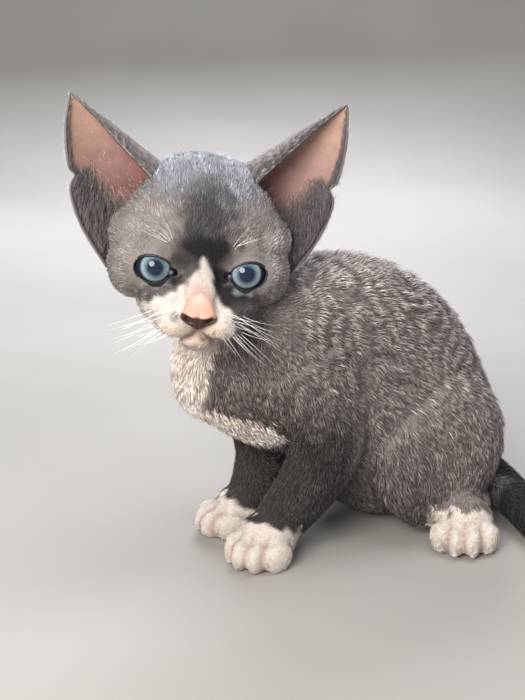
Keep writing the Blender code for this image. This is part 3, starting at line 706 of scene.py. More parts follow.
@dataclass(frozen=True)
class EarShape:
    """A big thin ear: rows from root to tip, each an arc round the cup from the inner rim to the outer one."""

    side: str
    lift: float
    rows: tuple = (
        ((14.5, 15.5, 20.0), (28.5, 19.0, -4.5), 12.0),
        ((16.5, 16.0, 25.8), (36.0, 20.5, 6.0), 12.5),
        ((20.5, 17.5, 30.0), (40.3, 21.5, 15.0), 11.3),
        ((25.5, 19.5, 34.5), (42.8, 23.0, 25.0), 9.0),
        ((30.5, 21.5, 39.3), (44.6, 24.3, 33.5), 6.5),
        ((35.0, 23.5, 43.5), (45.2, 25.5, 41.0), 4.0),
        ((39.5, 25.0, 47.3), (44.8, 26.0, 46.5), 1.9),
        ((43.4, 26.0, 50.4), (44.4, 26.0, 50.4), 0.5),
    )
    back: Triple = (-0.35, 0.9, 0.2)
    curl: float = 118.0
    wall: float = 0.8

    def section(self, t: Array, angle: Array, inset: float) -> Array:
        """Places on the cup: the arc's middle plus half its width times sin a, plus its depth times cos a.

        Args:
            t: rows from root to tip, 0 to 7.
            angle: degrees from the inner rim at -curl to the outer rim at 90.
            inset: how far inside the wall's middle.

        Returns:
            A grid of places in the head's frame.
        """
        drawn = np.array([[*inner, *outer, depth] for inner, outer, depth in self.rows])
        row = curve(drawn, t)
        inner, outer = row[:, :3], row[:, 3:6]
        depth = unit(np.array(self.back)) * row[:, 6:7]
        share, drop = math.sin(math.radians(self.curl)), math.cos(math.radians(self.curl))
        half = (outer - inner + depth * drop) / (1.0 + share)
        middle = outer - half
        half = half * (1.0 - inset / np.maximum(np.linalg.norm(half, axis=1, keepdims=True), 2.0 * abs(inset)))
        depth = depth * (1.0 - inset / np.maximum(row[:, 6:7], 2.0 * abs(inset)))
        a = np.radians(angle)[None, :, None]
        grid = middle[:, None] + half[:, None] * np.sin(a) + depth[:, None] * np.cos(a)
        lift = self.lift * np.maximum(grid[..., 2:3], 0.0) / self.rows[-1][0][2]
        return grid * np.array([SIDES[self.side], 1.0, 1.0]) + lift * np.array([0.0, 0.0, 1.0])

    def grid(self, steps: int, columns: int) -> tuple[Array, Array, Array]:
        """The wall's grid: out along the outer side from rim to rim, and back along the inner side.

        Args:
            steps: rings from root to tip.
            columns: places from rim to rim on each side.

        Returns:
            The grid in the kitten's frame, and each place's row and angle, with INNER_TURN added on the inner side.
        """
        t = np.linspace(0.0, 7.0, steps)
        angle = np.linspace(-self.curl, 90.0, columns)
        outer = self.section(t, angle, -self.wall / 2)
        inner = self.section(t, angle[::-1], self.wall / 2)
        # the folded pocket in the outer rim: a notch, with the lower part standing a little outside
        rows = np.repeat(t[:, None], 2 * columns, axis=1)
        angles = np.repeat(np.concatenate([angle, angle[::-1] + INNER_TURN])[None, :], steps, axis=0)
        whole = np.concatenate([outer, inner], axis=1)
        plain = np.where(angles > INNER_TURN / 2, angles - INNER_TURN, angles)
        notch = (np.exp(-(((rows - 2.95) / 0.16) ** 2)) - 0.5 * smooth(2.9, 2.4, rows)) * smooth(58.0, 90.0, plain)
        whole = whole + notch[..., None] * np.array([-SIDES[self.side] * 1.5, 1.3, 0.0])
        return HEAD.out(whole), rows, angles

    def hollow(self) -> Shell:
        """The inside of the cup at its root, which is cut into the head."""
        t = np.linspace(0.35, 3.0, 16)
        return wrap(HEAD.out(self.section(t, np.linspace(-self.curl, 90.0, 24), 0.25)))


EARS = {"left": EarShape("left", 1.5), "right": EarShape("right", -2.0)}


# The body


@dataclass(frozen=True)
class Paw:
    """A paw: the middle of its palm on the floor, where it points in degrees to the left of ahead, and its width."""

    middle: tuple[float, float]
    turn: float
    width: float
    top: float
    toes: tuple = ((-0.37, 0.37, -14.0), (-0.13, 0.53, -4.0), (0.14, 0.53, 4.0), (0.38, 0.35, 14.0))

    @property
    def frame(self) -> Frame:
        """The paw's frame, with -Y ahead."""
        return Frame((*self.middle, 0.0), (0.0, 0.0, self.turn))

    def shells(self) -> list[Shell]:
        """The palm and the four toes."""
        w = self.width
        palm = ball((0.0, 0.0, 0.34 * w), (0.44 * w, 0.5 * w, 0.42 * w), (0.0, 0.0, 0.0), self.frame)
        shells = [palm]
        for across, ahead, turn in self.toes:
            centre = (across * w, -ahead * w, 0.215 * w)
            shells.append(ball(centre, (0.142 * w, 0.27 * w, 0.245 * w), (6.0, 0.0, -turn), self.frame))
        return shells

    def groove(self, places: Array) -> Array:
        """How near places are to the folds between the toes, from 0 to 1."""
        local = self.frame.into(places) / self.width
        ahead = smooth(0.25, 0.5, -local[:, 1]) * smooth(0.62, 0.4, local[:, 2])
        spread = 0.6 - 0.5 * local[:, 1]
        folds = [np.exp(-(((local[:, 0] - x * spread) / 0.035) ** 2)) for x in (-0.27, 0.005, 0.28)]
        return ahead * np.max(folds, axis=0)


PAWS = {
    "forepaw_left": Paw((16.5, 3.0), 30.0, 23.1, 12.0),
    "forepaw_right": Paw((-11.0, 7.5), -2.0, 22.0, 10.5),
    "hindpaw_left": Paw((39.0, 69.0), 52.0, 22.9, 11.0),
    "hindpaw_right": Paw((-39.0, 69.0), -52.0, 22.9, 11.0),
}


@dataclass(frozen=True)
class Torso:
    """The trunk, neck, legs and tail as stations along their paths."""

    trunk: tuple = (
        (-21.5, 64.0, 6.0, 7.0, 7.0),
        (-17.0, 64.0, 13.5, 15.0, 14.0),
        (-4.5, 64.0, 21.5, 26.5, 22.0),
        (15.0, 62.0, 27.0, 36.0, 30.0),
        (36.0, 57.0, 30.0, 42.0, 34.0),
        (56.0, 47.0, 32.0, 41.0, 40.0),
        (72.0, 36.0, 32.0, 33.0, 40.0),
        (84.0, 27.0, 29.0, 24.0, 34.0),
        (92.0, 20.0, 22.0, 16.0, 24.0),
        (96.0, 16.0, 10.0, 8.0, 12.0),
    )
    neck: tuple = (
        (0.0, 18.0, 70.0, 20.0, 20.0, 20.0),
        (-0.5, 10.0, 80.0, 20.5, 20.5, 21.0),
        (-1.5, 2.0, 90.0, 19.5, 19.0, 19.5),
        (-2.5, -5.0, 100.0, 18.5, 18.0, 18.0),
    )
    hind_foot: tuple = (
        (16.5, 86.8, 8.0, 5.0, 6.0, 6.0),
        (19.0, 84.6, 8.4, 7.2, 8.2, 8.6),
        (25.5, 79.6, 8.4, 8.4, 8.5, 9.0),
        (32.5, 74.2, 7.8, 8.3, 7.5, 8.5),
    )
    shoulder: tuple = ((17.0, 16.0, 67.0), (13.0, 22.0, 25.0), (10.0, 0.0, 0.0))
    thigh: tuple = ((27.0, 66.0, 31.0), (12.0, 26.0, 28.0), (-20.0, 0.0, 0.0))
    tail_radius: float = 7.6
    tail: tuple = (
        (0.0, 94.0, 16.0, 1.1),
        (5.0, 101.0, 10.5, 1.08),
        (16.0, 102.5, 7.6, 1.0),
        (27.0, 99.5, 7.1, 0.97),
        (39.0, 95.5, 6.8, 0.93),
        (52.0, 91.5, 6.3, 0.87),
        (65.0, 91.0, 5.8, 0.78),
        (78.0, 95.5, 5.1, 0.66),
        (89.0, 103.5, 4.3, 0.5),
        (93.0, 108.0, 3.8, 0.22),
    )
    voxel: float = 1.05

    def foreleg(self, side: str) -> list[tuple]:
        """A foreleg's stations from inside the shoulder down to the wrist."""
        (x, y), s = PAWS[f"forepaw_{side}"].middle, SIDES[side]
        return [
            (s * 20.0, 13.0, 70.0, 12.0, 19.0, 19.0),
            (s * 22.0, 19.0, 54.0, 12.5, 17.0, 15.0),
            (s * 22.5, 21.0, 39.0, 11.5, 13.5, 12.0),
            ((s * 21.0 + x) / 2 + s * 1.0, y + 12.5, 25.0, 10.2, 11.5, 9.8),
            (x, y + 5.5, 14.0, 9.0, 10.0, 8.8),
            (x, y + 1.0, 7.0, 8.0, 8.0, 8.0),
        ]

    def shells(self) -> list[Shell]:
        """The overlapping forms of the body."""
        r = self.tail_radius
        tail = [(x, y, z, share * r, share * r, share * r) for x, y, z, share in self.tail]
        shells = [loft([(0.0, *row) for row in self.trunk], sides=64), loft(self.neck, sides=56)]
        shells.append(loft(tail, (0.0, 0.0, 1.0)))
        for side, s in SIDES.items():
            for (x, y, z), radii, turn in (self.shoulder, self.thigh):
                shells.append(ball((s * x, y, z), radii, turn, Frame(), 56))
            shells.append(loft(self.foreleg(side)))
            shells.append(loft([(s * x, *rest) for x, *rest in self.hind_foot]))
        for paw in PAWS.values():
            shells += paw.shells()
        return shells

    def build(self, bench: Bench) -> bpy.types.Object:
        """The body's skin out to the coat's tips, smoothed as the solid is, and flat where it rests."""
        body = bench.melt("body", self.shells(), self.voxel)
        places = bench.places(body)
        near = [np.hypot(*(places[:, :2] - paw.middle).T) for paw in PAWS.values()]
        feet = (places[:, 2] < 15.0) & (np.min(near, axis=0) < 19.0)
        bench.soften(body, 1.0 - 0.78 * feet, round(9 / self.voxel**2))
        return body


BODY = Torso()


# Markings


@dataclass(frozen=True)
class Patch:
    """A soft oval of colour on the face: its middle, its radii, its tilt in degrees, and its strength."""

    middle: tuple[float, float]
    radii: tuple[float, float]
    tilt: float
    colour: Triple
    strength: float
    soft: float = 0.6

    def share(self, flat: Array) -> Array:
        """How much of the patch shows at each place."""
        a = math.radians(self.tilt)
        away = flat - np.array(self.middle)
        turned = np.stack([away @ (math.cos(a), math.sin(a)), away @ (-math.sin(a), math.cos(a))], axis=1)
        reach = np.linalg.norm(turned / np.array(self.radii), axis=1)
        return self.strength * smooth(1.0 + self.soft, 1.0 - self.soft, reach)


@dataclass(frozen=True)
class Markings:
    """The coat's colours over the whole kitten, which skin and tufts share."""

    grey: Triple = (0.222, 0.194, 0.185)
    pale: Triple = (0.365, 0.325, 0.310)
    # painted rim light: the silver of the head's top and of the ears' rims
    rim_lit_silver: Triple = (0.330, 0.340, 0.372)
    dark: Triple = (0.022, 0.020, 0.022)
    leg: Triple = (0.058, 0.049, 0.046)
    white: Triple = (0.860, 0.770, 0.700)
    cream: Triple = (0.860, 0.690, 0.560)
    rose: Triple = (0.660, 0.420, 0.345)
    blaze: tuple = (
        (0.4, 5.2), (1.7, 3.0), (3.1, 0.0), (3.9, -3.0), (4.9, -5.6), (6.2, -7.6), (8.8, -9.3), (10.4, -11.4),
        (11.3, -13.6), (11.2, -16.0), (10.4, -19.0), (12.0, -26.0), (14.0, -45.0), (-16.0, -45.0), (-15.0, -24.0),
        (-17.8, -17.0), (-20.5, -13.4), (-18.6, -10.4), (-15.5, -8.7), (-13.0, -7.4), (-10.0, -6.2), (-7.0, -5.0),
        (-4.5, -3.0), (-2.7, -1.0), (-1.4, 1.2), (-0.4, 3.4),
    )
    patches: tuple = (
        Patch((-18.0, 3.0), (12.0, 18.0), 8.0, (0.330, 0.295, 0.268), 0.9),
        Patch((19.0, 4.0), (12.0, 17.0), -8.0, (0.330, 0.295, 0.278), 0.9),
        Patch((-16.0, 13.0), (7.0, 7.0), 20.0, (0.330, 0.290, 0.265), 0.6),
        # painted rim light on the top of the head, silvery
        Patch((0.0, 34.0), (22.0, 9.5), 0.0, (0.320, 0.326, 0.355), 0.95),
        Patch((1.0, 15.5), (8.5, 13.0), 0.0, (0.062, 0.056, 0.056), 0.95, 0.45),
        Patch((0.5, 7.5), (10.0, 5.0), 0.0, (0.019, 0.018, 0.019), 1.0, 0.5),
        Patch((-6.5, 3.0), (3.4, 4.6), 30.0, (0.060, 0.054, 0.054), 0.85, 0.5),
        Patch((6.2, -2.0), (3.4, 8.0), 8.0, (0.022, 0.020, 0.021), 1.0, 0.45),
        Patch((-7.4, -3.4), (3.0, 1.8), -20.0, (0.040, 0.030, 0.030), 0.9, 0.5),
        Patch((-14.5, -6.4), (6.5, 1.9), 6.0, (0.085, 0.076, 0.074), 0.85, 0.6),
        Patch((11.0, -7.2), (5.6, 2.8), -12.0, (0.020, 0.018, 0.019), 1.0, 0.5),
        Patch((16.0, -10.5), (5.5, 3.0), -20.0, (0.130, 0.118, 0.114), 0.8, 0.6),
        Patch((-24.0, -6.0), (5.0, 4.0), 0.0, (0.250, 0.225, 0.205), 0.7, 0.6),
    )

    def face(self, local: Array, drift: Array) -> Array:
        """Colours of the head, by where a place shows from the front."""
        flat = local[:, [0, 2]]
        front = smooth(30.0, 16.0, local[:, 1])[:, None]
        base = np.tile(self.grey, (len(local), 1))
        # painted rim light: the top of the head turns silver, as lit from above and behind
        top = smooth(16.0, 32.0, local[:, 2] + 2.0 * drift)[:, None] * 0.75
        base = mix(base, self.rim_lit_silver, top)
        for patch in self.patches:
            share = patch.share(flat + 0.8 * drift[:, None])[:, None] * front
            base = mix(base, patch.colour, share)
        away = outline_distance(flat, self.blaze) + 0.35 * drift
        white = (smooth(0.9, -0.7, away) * smooth(26.0, 16.0, local[:, 1]))[:, None]
        warm = smooth(9.0, 3.0, np.hypot(flat[:, 0] * 0.7, flat[:, 1] + 17.0))[:, None]
        snow = mix(np.array(self.white), self.cream, warm)
        bridge = smooth(6.0, 1.5, np.hypot(flat[:, 0] + 0.3, (flat[:, 1] + 6.5) * 0.8))[:, None] * 0.9
        snow = mix(snow, self.rose, bridge)
        spot = smooth(2.0, 0.9, np.hypot(flat[:, 0] + 7.6, flat[:, 1] + 12.2))[:, None] * 0.8
        snow = mix(snow, np.array(self.pale) * 0.75, spot)
        # painted shadow under the mouth: the white darker by up to 35 % on the chin, left of the middle
        snow = snow * (1 - 0.35 * smooth(3.0, 0.6, np.hypot((flat[:, 0] - 5.0) * 0.4, flat[:, 1] + 19.2)))[:, None]
        # the mouth's line: pink-brown lip skin, deepened with painted shade of the slit
        mouth = smooth(1.3, 0.3, line_distance(np.abs(flat * [1, 0]) + flat * [0, 1], MOUTH))[:, None] * 0.55
        snow = mix(snow, (0.28, 0.16, 0.13), mouth)
        return mix(base, snow, white)

    def body(self, places: Array, drift: Array) -> Array:
        """Colours of the trunk, legs, paws and tail."""
        x, y, z = places.T
        base = np.tile(self.grey, (len(places), 1))
        # painted rim light: the top of the back paler, as lit from above and behind
        back = (smooth(66.0, 96.0, z + 3 * drift) * smooth(-2.0, 16.0, y))[:, None] * 0.5
        base = mix(base, self.pale, back)
        flank = (smooth(22.0, 40.0, y) * smooth(8.0, 26.0, z) * smooth(78.0, 60.0, z))[:, None] * 0.35
        base = mix(base, self.pale, flank)
        # painted shade: the lower trunk and the space behind the forelegs darker by up to 30 %
        base = base * (1.0 - 0.3 * smooth(44.0, 22.0, z) * smooth(66.0, 50.0, y))[:, None]
        leg = (smooth(30.0, 22.0, y) * smooth(62.0, 40.0, z + 2 * drift))[:, None]
        base = mix(base, self.leg, leg)
        # painted shadow of the head: the front of the neck under the jaw darkened
        jaw_shadow = (smooth(8.0, -6.0, y) * smooth(60.0, 76.0, z))[:, None] * 0.65
        base = mix(base, (0.075, 0.066, 0.064), jaw_shadow)
        half = np.interp(
            z,
            [36.0, 45.0, 50.0, 51.5, 54.0, 58.0, 66.0, 70.0, 77.0, 90.0],
            [17, 19, 18, 12, 10, 10.8, 12, 13, 11.5, 12],
        )
        bib = smooth(1.2, -0.8, np.abs(x + 0.8) - half + 1.0 * drift) * smooth(12.0, 6.0, y) * smooth(35.0, 39.0, z)
        bib = bib[:, None]
        base = mix(base, self.white, bib)
        for paw in PAWS.values():
            local = paw.frame.into(places)
            near = (np.hypot(local[:, 0], local[:, 1] + 3.0) < 21.0) & (np.abs(local[:, 0]) < 13.0)
            line = paw.top - 0.45 * local[:, 1]
            share = (smooth(1.0, -1.0, z - line + 0.9 * drift) * near * smooth(9.0, 5.0, local[:, 1]))[:, None]
            base = mix(base, np.array(self.white) * 0.94, share)
            # the folds between the toes: pink skin, darkened with painted shade of the crease
            fold = (paw.groove(places) * near)[:, None] * 0.6 * share
            base = mix(base, (0.42, 0.20, 0.16), fold)
        tail = self.tail_share(places)[:, None]
        return mix(base, np.array(self.dark) * 1.2, tail)

    @staticmethod
    def tail_share(places: Array) -> Array:
        """1 on the tail, 0 off it, by the distance from its path."""
        near = smooth(10.4, 8.8, path_distance(places, np.array(BODY.tail)[1:, :3]))
        return near * np.maximum(smooth(97.0, 100.0, places[:, 1]), smooth(24.0, 31.0, places[:, 0]))

    def colour(self, places: Array) -> Array:
        """The coat's colour at each place of the kitten's frame."""
        drift = Drift(5.0, 3).value(places)
        on_head = smooth(-2.5, 2.5, (places - NECK_PLACE) @ NECK_WAY + 0.8 * drift)[:, None]
        return mix(self.body(places, drift), self.face(HEAD.into(places), drift), on_head)


def path_distance(places: Array, rows: Array) -> Array:
    """How far places lie from a smooth path through the rows."""
    path = curve(rows, np.linspace(0.0, len(rows) - 1.0, 60))
    best = np.full(len(places), np.inf)
    for point in path:
        best = np.minimum(best, ((places - point) ** 2).sum(1))
    return np.sqrt(best)


MARKINGS = Markings()


# How the coat lies


@dataclass(frozen=True)
class Guide:
    """The coat round one place: the way it lies, a tuft's length, width and lift in degrees, and the skin's depth."""

    place: Triple
    lie: Triple
    length: float
    width: float
    lift: float
    depth: float
    reach: float = 14.0
    wave: float = 0.0


BODY_GUIDES = (
    Guide((0.0, 10.0, 97.0), (0.0, 0.8, -0.4), 4.2, 0.32, 20.0, 1.0, 12.0, 0.9),
    Guide((0.0, 40.0, 99.0), (0.0, 1.0, -0.1), 4.4, 0.33, 20.0, 0.7, 16.0, 1.0),
    Guide((0.0, 68.0, 92.0), (0.0, 0.8, -0.6), 4.6, 0.34, 19.0, 0.7, 16.0, 0.9),
    Guide((0.0, 90.0, 66.0), (0.0, 0.4, -0.9), 4.8, 0.36, 19.0, 0.7, 16.0, 0.5),
    Guide((0.0, 98.0, 32.0), (0.0, 0.4, -0.9), 4.8, 0.38, 19.0, 0.8, 14.0, 0.0),
    Guide((18.0, 18.0, 92.0), (0.25, 0.8, -0.5), 4.2, 0.32, 20.0, 0.9, 12.0, 1.0),
    Guide((24.0, 36.0, 84.0), (0.2, 0.85, -0.5), 4.5, 0.33, 19.0, 0.7, 12.0, 0.9),
    Guide((28.0, 18.0, 72.0), (0.1, 0.65, -0.75), 4.4, 0.33, 18.0, 0.8, 12.0, 0.5),
    Guide((31.0, 42.0, 62.0), (0.05, 0.75, -0.65), 5.0, 0.35, 17.0, 0.7, 14.0, 0.25),
    Guide((29.0, 42.0, 38.0), (0.0, 0.55, -0.85), 5.4, 0.36, 17.0, 0.8, 12.0, 0.1),
    Guide((32.0, 70.0, 66.0), (0.1, 0.7, -0.7), 5.0, 0.35, 17.0, 0.7, 14.0, 0.4),
    Guide((39.0, 62.0, 42.0), (0.1, 0.25, -0.95), 5.2, 0.36, 17.0, 0.9, 12.0, 0.1),
    Guide((37.0, 66.0, 18.0), (0.25, -0.2, -0.95), 4.2, 0.34, 15.0, 0.9, 10.0, 0.0),
    Guide((26.0, 88.0, 36.0), (0.2, 0.35, -0.9), 4.8, 0.36, 17.0, 0.8, 12.0, 0.2),
    Guide((32.0, 20.0, 52.0), (0.0, 0.3, -0.95), 3.8, 0.31, 19.0, 0.9, 10.0, 0.1),
    Guide((28.0, 15.0, 36.0), (-0.05, -0.1, -1.0), 3.0, 0.28, 22.0, 0.9, 9.0, 0.0),
    Guide((20.0, 8.0, 22.0), (-0.1, -0.25, -0.95), 2.6, 0.27, 22.0, 0.9, 9.0, 0.0),
    Guide((9.0, -14.0, 84.0), (0.1, 0.1, -1.0), 4.2, 0.31, 20.0, 1.0, 10.0, 0.0),
    Guide((18.0, 0.0, 86.0), (0.3, 0.45, -0.85), 4.0, 0.31, 19.0, 1.0, 10.0, 0.3),
    Guide((0.0, -22.0, 64.0), (0.0, 0.05, -1.0), 4.8, 0.33, 18.0, 1.2, 11.0, 0.0),
    Guide((18.0, -8.0, 66.0), (0.3, 0.3, -0.9), 4.2, 0.32, 17.0, 1.0, 10.0, 0.0),
    Guide((0.0, -12.0, 48.0), (0.0, 0.75, -0.65), 4.6, 0.33, 20.0, 1.0, 11.0, 0.0),
    Guide((14.0, 0.0, 48.0), (0.2, 0.6, -0.75), 4.2, 0.33, 20.0, 1.0, 10.0, 0.0),
    Guide((0.0, 30.0, 26.0), (0.0, 0.95, -0.3), 4.4, 0.40, 17.0, 0.8, 16.0, 0.0),
)

# In the head's frame; the coat lies away from the nose there
HEAD_GUIDES = tuple(
    Guide(place, (0.0, 0.0, 0.0), *sizes)
    for place, *sizes in (
        ((0.0, -12.0, -9.0), 0.9, 0.18, 10.0, 0.35, 4.0, 0.0),
        ((0.0, -4.0, -1.0), 1.6, 0.20, 11.0, 0.5, 5.0, 0.0),
        ((7.0, -11.0, -14.0), 1.7, 0.21, 13.0, 0.6, 5.0, 0.0),
        ((0.0, -8.0, -20.0), 1.8, 0.22, 15.0, 0.6, 4.0, 0.0),
        ((14.0, -6.0, -12.0), 2.4, 0.24, 15.0, 0.9, 6.0, 0.0),
        ((14.2, -1.0, 5.5), 1.8, 0.21, 13.0, 0.5, 4.0, 0.0),
        ((14.2, -1.0, -5.5), 1.8, 0.21, 13.0, 0.5, 4.0, 0.0),
        ((0.0, -1.0, 8.0), 2.2, 0.23, 15.0, 0.8, 7.0, 0.0),
        ((16.0, 4.0, 14.0), 2.3, 0.24, 14.0, 0.8, 8.0, 0.0),
        ((0.0, 4.0, 22.0), 2.6, 0.25, 17.0, 0.9, 10.0, 0.0),
        ((0.0, 24.0, 34.0), 3.0, 0.28, 18.0, 0.9, 14.0, 0.3),
        ((24.0, 4.0, 0.0), 2.5, 0.25, 15.0, 0.9, 8.0, 0.0),
        ((26.0, 16.0, -6.0), 3.3, 0.28, 18.0, 1.0, 9.0, 0.0),
        ((12.0, 4.0, -20.0), 2.9, 0.27, 19.0, 0.9, 7.0, 0.0),
        ((0.0, 48.0, 10.0), 3.6, 0.32, 18.0, 1.0, 18.0, 0.4),
    )
)


@dataclass
class Lie:
    """The coat at many places: arrays of ways, lengths, widths, lifts in radians, depths and waves."""

    way: Array
    length: Array
    width: Array
    lift: Array
    depth: Array
    wave: Array


class CoatMap:
    """Blends the guides: each counts by exp(-(distance / reach)^2 / 2), and legs, paws and tail have their own."""

    def __init__(self) -> None:
        """Adds the guides of the paws and the tail, and mirrors the rest."""
        body = self.mirrored(BODY_GUIDES)
        for paw in PAWS.values():
            for across, ahead, up, length in (
                (0.0, 0.45, 0.42, 1.6),
                (0.0, 0.8, 0.2, 1.1),
                (0.0, -0.1, 0.7, 2.0),
                (0.4, 0.2, 0.2, 1.4),
                (-0.4, 0.2, 0.2, 1.4),
            ):
                place = paw.frame.out(np.array([[across, -ahead, up]]) * paw.width)[0]
                lie = paw.frame.out_way(np.array([[0.0, -0.85, -0.35]]))[0]
                body.append(Guide(tuple(place), tuple(lie), length, 0.22, 12.0, 0.3, 5.0))
        tail = np.array(BODY.tail)[:, :3]
        for place, way in zip(tail[1:], unit(np.gradient(tail, axis=0))[1:]):
            body.append(Guide(tuple(place), tuple(way), 4.0, 0.34, 18.0, 1.1, 7.0))
        self.body = body
        self.head = self.mirrored(HEAD_GUIDES)

    @staticmethod
    def mirrored(guides: Sequence[Guide]) -> list[Guide]:
        """The guides with those off the middle repeated on the other side."""
        whole = list(guides)
        for g in guides:
            if g.place[0] > 1.0:
                (x, y, z), (a, b, c) = g.place, g.lie
                whole.append(Guide((-x, y, z), (-a, b, c), g.length, g.width, g.lift, g.depth, g.reach, g.wave))
        return whole

    @staticmethod
    def blend(places: Array, guides: Sequence[Guide]) -> Array:
        """The weighted mean of the guides' values: way, length, width, lift, depth and wave."""
        total = np.zeros((len(places), 8))
        weight = np.full(len(places), 1e-12)
        for g in guides:
            away = ((places - np.array(g.place)) ** 2).sum(1) / g.reach**2
            share = np.exp(-away / 2) + 1e-7 / (1 + away)
            total += share[:, None] * np.array([*g.lie, g.length, g.width, g.lift, g.depth, g.wave])
            weight += share
        return total / weight[:, None]

    def at(self, places: Array, normals: Array) -> Lie:
        """The coat at places of the kitten's frame, its way flat on the skin."""
        body = self.blend(places, self.body)
        local = HEAD.into(places)
        head = self.blend(local, self.head)
        away = unit(local - np.array([0.0, -13.0, -9.5]))
        away[:, 2] -= 0.25 * smooth(6.0, 20.0, np.abs(local[:, 0])) * smooth(6.0, -4.0, local[:, 2])
        for eye in EYES.values():
            middle = np.array([SIDES[eye.side] * eye.spacing / 2, 0.0, 0.0])
            from_eye = unit((local - middle) * [1, 0, 1])
            near = smooth(5.0, 0.5, eye.reach(places))[:, None]
            away = unit(away * (1 - 0.75 * near) + from_eye * 0.75 * near)
        head[:, :3] = HEAD.out_way(away)
        on_head = smooth(-3.0, 3.0, (places - NECK_PLACE) @ NECK_WAY)[:, None]
        mixed = mix(body, head, on_head)
        way = mixed[:, :3]
        way = unit(way - normals * (way * normals).sum(1)[:, None])
        return Lie(way, mixed[:, 3], mixed[:, 4], np.radians(mixed[:, 5]), mixed[:, 6], mixed[:, 7])


# The coat's unwraps


@dataclass(frozen=True)
class DomeChart:
    """An unwrap of a dome: Lambert's equal-area map of the way from its middle, round a pole."""

    frame: Frame
    middle: Triple
    pole: Triple

    def at(self, places: Array) -> Array:
        """Places on the unwrap, 0 to 1."""
        pole = np.array(self.pole)
        side = unit(np.cross(pole, [0.3, 0.2, 0.9]))
        way = unit(self.frame.into(places) - np.array(self.middle))
        along = np.clip(way @ pole, -1.0, 1.0)
        radius = np.sqrt(np.maximum((1.0 - along) / 2.0, 0.0))
        flat = np.stack([way @ side, way @ np.cross(pole, side)], axis=1)
        return 0.5 + 0.48 * unit(flat) * radius[:, None]


@dataclass(frozen=True)
class TubeChart:
    """An unwrap of a tube: the angle round its path, and the share of the path's length."""

    path: tuple
    across: Triple = (1.0, 0.0, 0.0)

    def at(self, places: Array) -> Array:
        """Places on the unwrap, 0 to 1."""
        rows = np.array(self.path, float)
        t = np.linspace(0.0, len(rows) - 1.0, 140)
        path = curve(rows, t)
        along = unit(np.gradient(path, axis=0))
        side = unit(np.array(self.across) - along * (along @ np.array(self.across))[:, None])
        nearest = np.argmin(((places[:, None] - path[None]) ** 2).sum(-1), axis=1)
        away = places - path[nearest]
        angle = np.arctan2((away * np.cross(side, along)[nearest]).sum(1), (away * side[nearest]).sum(1))
        beyond = (away * along[nearest]).sum(1)
        length = np.concatenate([[0.0], np.cumsum(np.linalg.norm(np.diff(path, axis=0), axis=1))])
        reach = (length[nearest] + beyond + 25.0) / (length[-1] + 50.0)
        return np.stack([0.02 + 0.96 * (angle / (2 * np.pi) + 0.5), 0.02 + 0.96 * np.clip(reach, 0.0, 1.0)], axis=1)


# The coat


class Tuft(Enum):
    """How a tuft is made: a straight three-sided spike, or one that bends once."""

    STRAIGHT = "straight"
    BENT = "bent"


@dataclass
class Roots:
    """Where tufts grow: places, outward ways, lies, colours, and places on the unwrap."""

    places: Array
    normals: Array
    lie: Lie
    colours: Array
    chart: Array


class Ground:
    """A surface as triangles, to sow roots on."""

    def __init__(self, bench: Bench, piece: bpy.types.Object) -> None:
        """Reads the piece's triangles."""
        mesh = piece.data
        mesh.calc_loop_triangles()
        flat = np.empty(len(mesh.loop_triangles) * 3, np.int32)
        mesh.loop_triangles.foreach_get("vertices", flat)
        self.tris = flat.reshape(-1, 3)
        self.places = bench.places(piece)
        self.normals = bench.normals(piece)

    def sow(self, density: Array, seed: int) -> tuple[Array, Array, Callable[[Array], Array]]:
        """Sows roots, as many to the square millimetre as the density at each vertex says, evenly drawn.

        Args:
            density: one value for each vertex.
            seed: of the random draw.

        Returns:
            The roots' places, their outward ways, and a function that carries any vertex values to them.
        """
        draw = np.random.default_rng(seed)
        a, b, c = (self.places[self.tris[:, k]] for k in range(3))
        area = np.linalg.norm(np.cross(b - a, c - a), axis=1) / 2
        total = np.cumsum(area * density[self.tris].mean(1))
        count = int(total[-1])
        picks = (np.arange(count) + draw.random(count)) * total[-1] / max(count, 1)
        chosen = self.tris[np.minimum(np.searchsorted(total, picks), len(total) - 1)]
        u, v = np.sqrt(draw.random(count)), draw.random(count)
        shares = np.stack([1 - u, u * (1 - v), u * v], axis=1)

        def carry(values: Array) -> Array:
            """Vertex values at the roots."""
            return np.einsum("ij,ij...->i...", shares, values[chosen])

        return carry(self.places), unit(carry(self.normals)), carry


